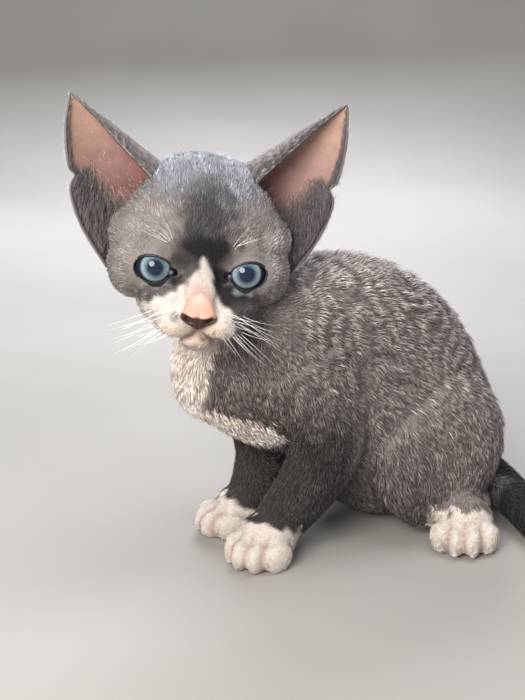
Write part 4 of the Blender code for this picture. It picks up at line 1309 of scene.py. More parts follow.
@dataclass
class Barber:
    """Makes tufts from roots: bent along the lie, gathered into locks, and shaded from root to tip, with darker
    underfur and painted shade between the hairs at the root, and pale ticking with a painted highlight at the tip.
    """

    seed: int = 5
    sunk: float = 0.35
    # root to tip colour factors: darker underfur with painted shade between the hairs at the root, pale ticking with
    # a painted highlight at the tip
    root_shade: float = 0.50
    middle_shade: float = 0.86
    tip_shade: float = 1.12
    yaw_spread: float = 0.13
    yaw_swirl: float = 0.16
    gather: float = 0.07
    tone_spread: float = 0.20
    bright_share: float = 0.07
    bright_tone: float = 1.7
    lowest: float = 0.05
    locks: Drift = field(default_factory=lambda: Drift(2.6, 8, 24))
    swirl: Drift = field(default_factory=lambda: Drift(11.0, 9))

    def tufts(self, roots: Roots, kind: Tuft) -> tuple[Shell, Array, Array]:
        """The tufts of one piece.

        Each tuft's middle line leaves the root at its lift and bends down to the skin's lie; its section is a flat
        triangle, two corners across and one on top, that narrows to a point.

        Args:
            roots: where they grow.
            kind: straight or bent.

        Returns:
            The closed tufts, a colour for each vertex, and each vertex's place on the unwrap.
        """
        draw = np.random.default_rng(self.seed)
        n, lie = len(roots.places), roots.lie
        yaw = draw.normal(0.0, self.yaw_spread, n) + self.yaw_swirl * self.swirl.value(roots.places)
        side = np.cross(roots.normals, lie.way)
        way = lie.way * np.cos(yaw)[:, None] + side * np.sin(yaw)[:, None]
        side = np.cross(roots.normals, way)
        length = lie.length * draw.uniform(0.75, 1.2, n)
        lift = lie.lift * draw.uniform(0.55, 1.45, n)
        width = lie.width * draw.uniform(0.8, 1.2, n) / 2
        gather = self.locks.slope(roots.places)
        gather = gather - roots.normals * (gather * roots.normals).sum(1)[:, None]
        gather = gather * (self.gather * length**1.2)[:, None]

        def ahead(angle: Array) -> Array:
            """The way along the skin, lifted by an angle."""
            return way * np.cos(angle)[:, None] + roots.normals * np.sin(angle)[:, None]

        start = roots.places - roots.normals * self.sunk
        middle = start + ahead(lift * 1.5) * (0.45 * length)[:, None] + gather * 0.3
        tip = middle + ahead(lift * 0.45) * (0.6 * length)[:, None] + gather * 0.7
        corners = np.array([[-1.0, 0.0], [1.0, 0.0], [0.0, 0.75]])

        def ring(middles: Array, scale: float) -> Array:
            """Three corners round a place of the middle line."""
            flat = side[:, None] * corners[None, :, :1] + roots.normals[:, None] * corners[None, :, 1:]
            return middles[:, None] + flat * (width * scale)[:, None, None]

        if kind is Tuft.BENT:
            places = np.concatenate([ring(start, 0.9), ring(middle, 1.0), tip[:, None]], axis=1)
            quads = np.array([[0, 1, 4, 3], [1, 2, 5, 4], [2, 0, 3, 5]])
            tris = np.array([[3, 4, 6], [4, 5, 6], [5, 3, 6], [2, 1, 0]])
            shades = np.array([self.root_shade] * 3 + [self.middle_shade] * 3 + [self.tip_shade])
            patch = np.array([[-1, -1], [1, -1], [0.3, -1], [-0.8, 0.1], [0.8, 0.1], [0.2, 0.1], [0, 1]])
        else:
            places = np.concatenate([ring(start, 1.0), tip[:, None]], axis=1)
            quads = np.zeros((0, 4), int)
            tris = np.array([[0, 1, 3], [1, 2, 3], [2, 0, 3], [2, 1, 0]])
            shades = np.array([self.root_shade * 1.25] * 3 + [self.tip_shade])
            patch = np.array([[-1, -1], [1, -1], [0.3, -1], [0, 1]])
        places[..., 2] = np.maximum(places[..., 2], self.lowest)
        each = places.shape[1]
        starts = np.arange(n)[:, None, None] * each
        shell = Shell(places.reshape(-1, 3), (quads + starts).reshape(-1, 4), (tris + starts).reshape(-1, 3))
        pale = roots.colours.mean(1)
        tone = np.exp(draw.normal(0.0, self.tone_spread, n) * (1.0 - 0.8 * pale))
        tone = tone * np.where(draw.random(n) < self.bright_share * (1.0 - pale), self.bright_tone, 1.0)
        # pale fur takes less of the painted shade and highlight
        shades = shades[None, :] ** (1.0 - 0.95 * pale[:, None])
        colours = roots.colours[:, None] * (shades * tone[:, None])[..., None]
        chart = roots.chart[:, None] + patch[None] * 0.0015
        return shell, colours.reshape(-1, 3), chart.reshape(-1, 2)


def make_tufts(
    bench: Bench, barber: Barber, name: str, roots: Roots, kind: Tuft, finish: bpy.types.Material
) -> bpy.types.Object:
    """Makes one object of tufts with its colours and its unwrap.

    Args:
        bench: makes the object.
        barber: makes the tufts.
        name: the object's name.
        roots: where the tufts grow.
        kind: straight or bent.
        finish: their material.

    Returns:
        The object.
    """
    shell, colours, chart = barber.tufts(roots, kind)
    made = bench.make(name, shell)
    bench.colour(made, colours)
    layer = made.data.uv_layers.new(name="OFBake")
    layer.data.foreach_set("uv", chart[shell.corners()].astype(np.float32).ravel())
    made.data.materials.append(finish)
    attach(made, "root")
    LOG.info("%s: %d tufts", name, len(roots.places))
    return made


@dataclass(frozen=True)
class CoatPiece:
    """A named piece of the coat: its unwrap, how its tufts are made, and the slot of its finish, which is not used.
    """

    name: str
    chart: object
    kind: Tuft
    slot: str


TRUNK_PATH = tuple((0.0, y, z) for y, z, *_ in BODY.trunk)
NECK_PATH = tuple(row[:3] for row in BODY.neck)
TAIL_PATH = tuple(row[:3] for row in BODY.tail)


class Coat:
    """The whole coat over the skin, in pieces."""

    wave_length = 5.4
    wave_drift = 1.9
    wave_lift = 0.8
    wave_rise = 0.35
    wave_painted_light = 0.62
    most = {Tuft.BENT: 19500, Tuft.STRAIGHT: 48000}  # tufts in an object, so that it stays under 200,000 triangles

    def __init__(self, bench: Bench, finish: bpy.types.Material) -> None:
        """Lists the pieces."""
        self.bench = bench
        self.finish = finish
        self.map = CoatMap()
        self.barber = Barber()
        dome = DomeChart(HEAD, (0.0, 14.0, 3.0), (0.0, -1.0, 0.0))
        trunk, neck = TubeChart(TRUNK_PATH), TubeChart(NECK_PATH)
        tail = TubeChart(TAIL_PATH, (0.0, 0.0, 1.0))
        self.pieces = {"coat_face": CoatPiece("coat_face", dome, Tuft.STRAIGHT, "white_coat")}
        for place, chart in (
            ("crown", dome),
            ("nape", dome),
            ("cheeks", dome),
            ("neck", neck),
            ("chest", trunk),
            ("back", trunk),
            ("shoulders", trunk),
            ("flanks", trunk),
            ("thighs", trunk),
            ("tail", tail),
        ):
            slot = "white_coat" if place == "chest" else "blue_coat"
            self.pieces[f"coat_{place}"] = CoatPiece(f"coat_{place}", chart, Tuft.BENT, slot)
        for side in SIDES:
            path = tuple(row[:3] for row in BODY.foreleg(side))
            name = f"coat_foreleg_{side}"
            self.pieces[name] = CoatPiece(name, TubeChart(path), Tuft.BENT, "blue_coat")
        for name, paw in PAWS.items():
            chart = DomeChart(paw.frame, (0.0, -2.0, 3.0), (0.0, 0.0, 1.0))
            self.pieces[f"coat_{name}"] = CoatPiece(f"coat_{name}", chart, Tuft.STRAIGHT, "white_coat")

    def name_roots(self, places: Array) -> Array:
        """The name of the piece that each root belongs to."""
        local = HEAD.into(places)
        on_head = (places - NECK_PLACE) @ NECK_WAY > 0.0
        x, y, z = places.T
        names = np.full(len(places), "coat_flanks", dtype="U24")
        names[(z > 62.0) & (y > 30.0)] = "coat_back"
        names[y < 30.0] = "coat_shoulders"
        names[(y < 14.0) & (np.abs(x) < 19.0) & (z < 86.0)] = "coat_chest"
        names[(z > 80.0) & (y < 16.0)] = "coat_neck"
        names[(y > 44.0) & (z < 52.0)] = "coat_thighs"
        for side, s in SIDES.items():
            leg = np.array([row[:3] for row in BODY.foreleg(side)])
            near = (path_distance(places, leg[1:]) < 17.0) & (z < 48.0) & (x * s > 3.0) & (y < 36.0)
            names[near] = f"coat_foreleg_{side}"
        for name, paw in PAWS.items():
            inner = paw.frame.into(places)
            near = (np.hypot(inner[:, 0] * 1.1, inner[:, 1] + 5.0) < 17.0) & (z < paw.top + 4.0)
            names[near] = f"coat_{name}"
        names[Markings.tail_share(places) > 0.5] = "coat_tail"
        names[on_head] = "coat_cheeks"
        names[on_head & (local[:, 2] > 4.0)] = "coat_crown"
        names[on_head & (local[:, 1] > 22.0)] = "coat_nape"
        names[on_head & (local[:, 1] < 5.0) & (local[:, 2] < 9.0) & (np.abs(local[:, 0]) < 22.0)] = "coat_face"
        return names

    def wave(self, roots: Roots) -> None:
        """Raises and lightens the crests of the waves that cross the back: sin of the way along it, drifting; the
        lighter crests and darker troughs are painted highlight and painted shade.
        """
        x, y, z = roots.places.T
        along = 0.86 * y - 0.5 * z * smooth(30.0, 60.0, y) + 0.35 * np.abs(x)
        phase = 2 * np.pi * along / self.wave_length + self.wave_drift * Drift(13.0, 31).value(roots.places)
        crest = np.sin(phase) * roots.lie.wave
        roots.lie.lift = roots.lie.lift * (1.0 + self.wave_lift * crest)
        roots.places = roots.places + roots.normals * (self.wave_rise * crest)[:, None]
        # painted light: crests lighter and troughs darker, and the back a little lighter where the wave is strong;
        # the cloud is random tone
        cloud = 1.0 + 0.10 * Drift(7.0, 33).value(roots.places)
        roots.colours = roots.colours * (cloud * (1.0 + self.wave_painted_light * crest + 0.08 * roots.lie.wave))[:, None]

    def grow(self, skin: bpy.types.Object, bare: Array, coverage: float = 3.3) -> list[bpy.types.Object]:
        """Sows the skin and makes every piece.

        Args:
            skin: the skin's object.
            bare: for each vertex, 0 where nothing grows.
            coverage: how many tufts lie over a place.

        Returns:
            The pieces.
        """
        ground = Ground(self.bench, skin)
        lie = self.map.at(ground.places, ground.normals)
        places, normals, carry = ground.sow(bare * coverage / (lie.width * lie.length), 17)
        keep = carry(bare) > 0.9
        places, normals = places[keep], normals[keep]
        names = self.name_roots(places)
        made = []
        for name, piece in self.pieces.items():
            chosen = names == name
            if not chosen.any():
                LOG.warning("%s has no roots", name)
                continue
            spots, ways = places[chosen], normals[chosen]
            lie = self.map.at(spots, ways)
            tips = spots + lie.way * (0.6 * lie.length)[:, None]
            roots = Roots(spots, ways, lie, MARKINGS.colour(tips), piece.chart.at(spots))
            self.wave(roots)
            made += self.cut_lengths(piece, roots)
        return made

    def cut_lengths(self, piece: CoatPiece, roots: Roots) -> list[bpy.types.Object]:
        """Makes a piece, in as many objects as its triangles need, divided along the body."""
        count = len(roots.places)
        shares = max(1, math.ceil(count / self.most[piece.kind]))
        order = np.argsort(roots.places[:, 1] + 0.5 * roots.places[:, 0])
        made = []
        for k, chosen in enumerate(np.array_split(order, shares)):
            lie = Lie(*(values[chosen] for values in vars(roots.lie).values()))
            part = Roots(roots.places[chosen], roots.normals[chosen], lie, roots.colours[chosen], roots.chart[chosen])
            name = piece.name if shares == 1 else f"{piece.name}_{k + 1}"
            made.append(make_tufts(self.bench, self.barber, name, part, piece.kind, self.finish))
        return made


# The pieces of the head


@dataclass
class Eyeballs:
    """Two eyeballs with a raised cornea, the lids' dark rims and the inner corners."""

    bench: Bench
    bulge: float = 0.55
    rim: float = 0.47

    def ball(self, eye: Eye) -> tuple[Shell, Array]:
        """An eyeball round its gaze: radius plus the bulge times (1 - (u / 0.75)^2)^2 within 0.75 radians of it.

        Args:
            eye: which eye.

        Returns:
            The surface, and for each vertex the angle round the pupil and the distance from it.
        """
        rings, sides = 60, 96
        u = np.linspace(0.0, np.pi, rings + 1)[1:-1]
        v = np.linspace(0.0, 2 * np.pi, sides, endpoint=False)
        radius = eye.radius - 0.12 + self.bulge * np.clip(1.0 - (u / 0.75) ** 2, 0.0, 1.0) ** 2
        ahead = unit(np.array(eye.gaze))
        side = unit(np.cross(ahead, [0.0, 0.0, 1.0]))
        up = np.cross(side, ahead)
        ring = side * np.cos(v)[:, None] + up * np.sin(v)[:, None]
        grid = ahead * (radius * np.cos(u))[:, None, None] + ring[None] * (radius * np.sin(u))[:, None, None]
        grid = grid @ turn_matrix((0.0, 0.0, -SIDES[eye.side] * eye.outward)).T
        shell = wrap(eye.frame.out(grid))
        disc = np.stack(np.broadcast_arrays(v[None, :] / (2 * np.pi), u[:, None]), axis=-1).reshape(-1, 2)
        disc = np.concatenate([disc, [[0.5, 0.0]], [[0.5, np.pi]]])
        return shell, disc

    def build(self) -> list[bpy.types.Object]:
        """Makes both eyes with their rims."""
        finish = EyeFinish().material()
        dark = PlainFinish("lid_edge", (0.010, 0.009, 0.011), 0.5, coat=0.15).material()
        flesh = PlainFinish("eye_corner", (0.085, 0.085, 0.12), 0.4, coat=0.4).material()
        made = []
        for side, eye in EYES.items():
            shell, disc = self.ball(eye)
            piece = self.bench.make(f"eyeball_{side}", shell)
            layer = piece.data.uv_layers.new(name="iris")
            layer.data.foreach_set("uv", self.unseamed(shell, disc).astype(np.float32).ravel())
            piece.data.materials.append(finish)
            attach(piece, "root")
            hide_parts(f"eye_{side}")
            made.append(piece)
            made.append(self.lids(eye, dark))
            made.append(self.corner(eye, flesh))
            LOG.info("eye %s", side)
        return made

    @staticmethod
    def unseamed(shell: Shell, disc: Array) -> Array:
        """The disc's places at each corner, with the angle carried on past 1 in the faces that close the ring."""
        values, sizes = disc[shell.corners()], shell.sides()
        face = np.repeat(np.arange(len(sizes)), sizes)
        high = np.zeros(len(sizes))
        np.maximum.at(high, face, np.where(values[:, 0] == 0.5, 0.0, values[:, 0]))
        wrapped = (high[face] > 0.9) & (values[:, 0] < 0.1)
        values[wrapped, 0] += 1.0
        return values

    def lids(self, eye: Eye, finish: bpy.types.Material) -> bpy.types.Object:
        """The dark edge of the lids: a thin tube that follows the opening on the ball."""
        angle = np.linspace(0.0, 2 * np.pi, 120, endpoint=False)
        flat = eye.opening(angle, 0.15)
        reach = eye.radius + 0.35
        path = np.stack([flat[:, 0], -np.sqrt(np.maximum(reach**2 - (flat**2).sum(1), 4.0)), flat[:, 1]], axis=1)
        along = unit(np.roll(path, -1, axis=0) - np.roll(path, 1, axis=0))
        out = unit(path)
        side = np.cross(along, out)
        v = np.linspace(0.0, 2 * np.pi, 12, endpoint=False)[None, :, None]
        thick = (self.rim * (1.0 + 0.25 * np.sin(angle)))[:, None, None]
        grid = path[:, None] + thick * (side[:, None] * np.cos(v) * 0.95 + out[:, None] * np.sin(v) * 0.75)
        ids = np.arange(120 * 12).reshape(120, 12)
        near = np.roll(ids, -1, axis=1)
        quads = np.stack([ids, near, np.roll(near, -1, axis=0), np.roll(ids, -1, axis=0)], axis=-1).reshape(-1, 4)
        shell = Shell(eye.frame.out(grid.reshape(-1, 3)), quads, np.zeros((0, 3), int)).outward()
        piece = self.bench.make(f"lids_{eye.side}", shell)
        piece.data.materials.append(finish)
        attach(piece, "root")
        return piece

    def corner(self, eye: Eye, finish: bpy.types.Material) -> bpy.types.Object:
        """The third lid's edge in the inner corner: a small flat ball."""
        s = SIDES[eye.side]
        flat = np.array([-s * 5.6, -0.95])
        depth = -math.sqrt((eye.radius - 0.15) ** 2 - float(flat @ flat))
        shell = ball((flat[0], depth, flat[1]), (1.1, 0.7, 0.85), (0.0, s * 25.0, s * 45.0), eye.frame, 24)
        piece = self.bench.make(f"eye_corner_{eye.side}", shell)
        piece.data.materials.append(finish)
        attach(piece, "root")
        return piece


@dataclass
class Nose:
    """The nose leather: pink above, dark round the nostrils and down to the lip."""

    bench: Bench
    heights: tuple = (-4.6, -5.4, -7.0, -9.0, -10.6, -11.6, -12.8, -14.0, -15.0, -15.7)
    halves: tuple = (0.8, 2.1, 3.6, 4.6, 5.4, 5.7, 4.9, 3.3, 1.7, 0.5)
    fronts: tuple = (-8.7, -9.8, -11.9, -13.5, -14.1, -14.1, -13.6, -12.7, -11.6, -10.8)
    nostril: tuple = (3.35, -11.9)

    def build(self) -> bpy.types.Object:
        """Makes the nose: across it a flat arch, along it the drawn profile, with a pit at each nostril."""
        t = np.linspace(0.0, len(self.heights) - 1.0, 64)
        drawn = np.stack([self.heights, self.halves, self.fronts], axis=1)
        z, half, front = curve(drawn, t).T
        v = np.linspace(0.0, 2 * np.pi, 96, endpoint=False)
        across, ahead = np.cos(v), np.sin(v)
        x = half[:, None] * across[None]
        arch = np.where(ahead > 0, np.abs(ahead) ** 0.8, 0.0)[None]
        y = front[:, None] + 2.7 * (1.0 - arch) + np.where(ahead < 0, 2.2 * np.abs(ahead), 0.0)[None]
        height = np.repeat(z[:, None], len(v), axis=1)
        front_side = (ahead > 0)[None]
        away_x, away_z = np.abs(x) - self.nostril[0], height - self.nostril[1]
        slant = math.radians(-28.0)
        long = away_x * math.cos(slant) - away_z * math.sin(slant)
        short = away_x * math.sin(slant) + away_z * math.cos(slant)
        pit = np.exp(-((long / 1.55) ** 2) - (short / 0.72) ** 2)
        wing = np.exp(-((long / 2.4) ** 2) - ((short - 1.5) / 0.9) ** 2)
        groove = np.exp(-((x / 0.35) ** 2)) * smooth(-8.0, -11.0, height)
        y = y + front_side * (2.3 * pit - 0.45 * wing + 0.35 * groove)
        grid = np.stack([x - 0.35 * smooth(-4.0, -9.0, height), y, height], axis=-1)
        shell = wrap(HEAD.out(grid))
        piece = self.bench.make("nose_leather", shell)
        local = HEAD.into(self.bench.places(piece))
        pink, dark = np.array([0.540, 0.265, 0.200]), np.array([0.016, 0.008, 0.008])
        pale = smooth(-8.5, -5.0, local[:, 2])[:, None] * 0.6
        pink = mix(pink, MARKINGS.rose, pale)
        line = -10.9 + 0.8 * smooth(2.0, 6.0, np.abs(local[:, 0])) - 0.6 * smooth(0.0, 5.0, local[:, 0])
        line = line + 0.12 * Drift(3.0, 4).value(local)
        share = smooth(0.35, -0.35, local[:, 2] - line)[:, None] * 0.95
        self.bench.colour(piece, mix(pink, dark, share))
        piece.data.materials.append(NoseFinish().material())
        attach(piece, "root")
        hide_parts("nose")
        LOG.info("nose")
        return piece


@dataclass
class EarWall:
    """The two sides of one ear's wall, with its rows, its angles and its ways along and around at each vertex."""

    side: str
    ground: Ground
    rows: Array
    angles: Array
    along: Array
    around: Array

    def __post_init__(self) -> None:
        """Parts the inner side, whose angles are written with INNER_TURN added, from the outer one."""
        self.inner = self.angles > INNER_TURN / 2
        self.turn = np.where(self.inner, self.angles - INNER_TURN, self.angles)
        self.inside = self.inner.astype(float)
        self.real = (self.rows > 0.25) & (self.rows < 6.97)
        slope = self.turn - 10.0 * (self.rows - 1.6)
        self.pocket = smooth(2.95, 2.6, self.rows) * smooth(14.0, 58.0, slope)  # the furry notch of the outer rim

    def colours(self) -> Array:
        """Grey outside, and inside pink above and dark red at the root, with dark margins: the dark red root is
        painted shade deep in the cup, and the brighter pink above and the warm spot are the skin's pink with painted
        light shining through.
        """
        rows, turn = self.rows, self.turn
        deep, mauve, glow = np.array([[0.110, 0.042, 0.040], [0.230, 0.125, 0.120], [0.350, 0.222, 0.170]])
        # painted shade: dark red at the root, deep in the cup
        skin = mix(deep, mauve, smooth(0.4, 2.6, rows)[:, None])
        # the skin's pink with painted light shining through, brightening upward and in a warm spot
        skin = mix(skin, glow, smooth(1.6, 5.5, rows)[:, None])
        warm = (np.exp(-(((rows - 1.9) / 0.9) ** 2) - (((turn + 45.0) / 30.0) ** 2)))[:, None] * 0.7
        skin = mix(skin, (0.36, 0.12, 0.07), warm)
        rim = np.maximum(np.maximum(smooth(66.0, 86.0, turn), smooth(-78.0, -108.0, turn)), self.pocket)
        skin = mix(skin, (0.050, 0.042, 0.042), rim[:, None] * 0.9)
        return np.where(self.inner[:, None], skin, np.array(MARKINGS.grey)[None] * 0.9)


@dataclass
class Ears:
    """Both ears: the thin wall, down on its back, a dark fringe round the mouth of the cup, and hairs within."""

    bench: Bench
    hair: bpy.types.Material
    barber: Barber = field(default_factory=lambda: Barber(seed=15, root_shade=0.6))
    steps: int = 90
    columns: int = 52

    def build(self, side: str) -> list[bpy.types.Object]:
        """Makes one ear and its hair."""
        grid, rows, angles = EARS[side].grid(self.steps, self.columns)
        ear = self.bench.make(f"ear_shell_{side}", wrap(grid))
        ways = [np.concatenate([unit(np.gradient(grid, axis=k)).reshape(-1, 3), np.zeros((2, 3))]) for k in (0, 1)]
        rows = np.concatenate([rows.ravel(), [0.0, 7.0]])
        angles = np.concatenate([angles.ravel(), [0.0, 0.0]])
        wall = EarWall(side, Ground(self.bench, ear), rows, angles, *ways)
        self.bench.colour(ear, wall.colours())
        ear.data.materials.append(EarSkinFinish().material())
        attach(ear, "root")
        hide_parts(f"ear_{side}")
        made = [ear, self.back(wall), self.fringe(wall)]
        LOG.info("ear %s", side)
        return made

    def tufts(self, name: str, roots: Roots, kind: Tuft) -> bpy.types.Object:
        """One object of ear hair."""
        return make_tufts(self.bench, self.barber, name, roots, kind, self.hair)

    def chart(self, rows: Array, turn: Array, across: float) -> Array:
        """The wall's own unwrap: rows up, angles across, from the given place."""
        return np.stack([across + 0.46 * (turn + 118.0) / 208.0, 0.02 + 0.96 * rows / 7.0], axis=1)

    def lie(self, way: Array, normals: Array, length: Array, width: float, lift: Array) -> Lie:
        """A lie flat on the wall with given sizes, the lift in degrees."""
        flat = unit(way - normals * (way * normals).sum(1)[:, None])
        return Lie(flat, length, np.full(len(way), width), np.radians(lift), length * 0.0, length * 0.0)

    def back(self, wall: EarWall, width: float = 0.27) -> bpy.types.Object:
        """Short fur on the back of the ear, lying to its tip, pale with a painted rim light and standing out along
        the rims.
        """
        places, normals, carry = wall.ground.sow((1 - wall.inside) * wall.real * 3.0 / (width * 2.0), 41)
        keep = carry(wall.inside) < 0.02
        places, normals = places[keep], normals[keep]
        rim = np.maximum(smooth(70.0, 88.0, wall.turn), smooth(-92.0, -114.0, wall.turn))
        edge, turn = carry(rim)[keep], carry(wall.turn)[keep]
        lie = self.lie(carry(wall.along)[keep], normals, 2.0 + 0.9 * edge, width, 17.0 + 12.0 * edge)
        # painted rim light: pale silver along the outer rim and on a strip near the inner one
        far = 0.7 * smooth(-98.0, -70.0, turn) * smooth(-25.0, -60.0, turn)
        share = np.maximum(smooth(70.0, 86.0, turn), far)[:, None]
        colours = mix(np.array(MARKINGS.grey) * 0.85, np.array(MARKINGS.rim_lit_silver) * 1.25, share)
        colours = mix(colours, (0.070, 0.062, 0.062), smooth(-60.0, -90.0, turn)[:, None] * 0.85)
        chart = self.chart(carry(wall.rows)[keep], turn, 0.02)
        return self.tufts(f"coat_ear_back_{wall.side}", Roots(places, normals, lie, colours, chart), Tuft.STRAIGHT)

    def fringe(self, wall: EarWall, width: float = 0.24) -> bpy.types.Object:
        """Fur inside the cup: dark and dense at the margins and the root, fine and sparse on the bare skin."""
        margin = np.maximum(smooth(60.0, 84.0, wall.turn), smooth(-62.0, -104.0, wall.turn))
        margin = np.maximum(margin, wall.pocket)
        root = smooth(1.6, 0.8, wall.rows)
        amount = 0.14 + 1.2 * np.maximum(margin, 0.5 * root)
        places, normals, carry = wall.ground.sow(wall.inside * wall.real * amount * 3.4 / (width * 2.6), 43)
        keep = carry(wall.inside) > 0.98
        places, normals = places[keep], normals[keep]
        edge, low, deep, turn = (carry(values)[keep] for values in (margin, root, wall.pocket, wall.turn))
        inward = carry(wall.around)[keep] * np.sign(turn)[:, None]
        way = carry(wall.along)[keep] + inward * (0.55 * edge)[:, None]
        length = 1.6 + 0.8 * edge + 2.0 * deep + 1.2 * low * np.random.default_rng(7).random(len(edge))
        lie = self.lie(way, normals, length, width, 12.0 + 8.0 * edge + 8.0 * deep)
        share = np.maximum(edge, 0.5 * low)[:, None]
        colours = mix(np.array([0.42, 0.30, 0.25]), (0.125, 0.108, 0.108), share)
        chart = self.chart(carry(wall.rows)[keep], turn, 0.51)
        return self.tufts(f"coat_ear_cup_{wall.side}", Roots(places, normals, lie, colours, chart), Tuft.BENT)


@dataclass
class Whiskers:
    """Short curled white whiskers on the pads, and the longer hairs over the eyes."""

    bench: Bench
    seed: int = 12
    radius: float = 0.085

    def hair(self, root: Array, way: Array, length: float, curl: Array, thin: float = 1.0) -> Shell:
        """A tapered tube along root + way times length s + curl s^2."""
        s = np.linspace(0.0, 1.0, 14)[:, None]
        path = root + way * length * s + curl * s**2
        along = unit(np.gradient(path, axis=0))
        side = unit(np.cross(along, [0.2, 0.1, 0.97]))
        v = np.linspace(0.0, 2 * np.pi, 5, endpoint=False)[None, :, None]
        thick = thin * self.radius * (1.0 - 0.75 * s)[:, :, None]
        ring = side[:, None] * np.cos(v) + np.cross(side, along)[:, None] * np.sin(v)
        return wrap(HEAD.out(path[:, None] + thick * ring))

    def build(self) -> bpy.types.Object:
        """Makes them all as one piece."""
        draw = np.random.default_rng(self.seed)
        shells = []
        for s in SIDES.values():
            for row, z in enumerate((-10.6, -12.6, -14.6, -16.4)):
                for column in range(5):
                    x = 6.6 + 1.45 * column + 0.4 * draw.random()
                    root = np.array([s * x, -10.6 + 0.10 * (x - 6.0) ** 2, z + 0.3 * draw.normal()])
                    out = s * (0.75 + 0.15 * draw.random())
                    down = -0.35 - 0.12 * row + 0.15 * draw.normal()
                    way = unit(np.array([out, -0.25 + 0.35 * column / 4, down]))
                    length = 9.0 + 1.6 * column + 2.5 * draw.random()
                    curl = np.array([s * 1.0, 4.5 + 2.5 * draw.random(), -2.2 * draw.random() + 1.4 * draw.normal()])
                    shells.append(self.hair(root, way, length, curl))
            for k in range(5):
                root = np.array([s * (9.4 + 0.5 * k), 0.0, 9.0 + 0.8 * draw.normal()])
                way = unit(np.array([s * (0.35 + 0.13 * k), -0.45, 0.85 - 0.1 * k]))
                curl = np.array([s * 1.2, 2.6, -0.6 * draw.random()])
                shells.append(self.hair(root, way, 6.0 + 3.0 * draw.random(), curl, 0.7))
        piece = self.bench.make("whiskers", together(shells))
        piece.data.materials.append(PlainFinish("whisker", (0.86, 0.84, 0.80), 0.35).material())
        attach(piece, "root")
        LOG.info("whiskers: %d", len(shells))
        return piece


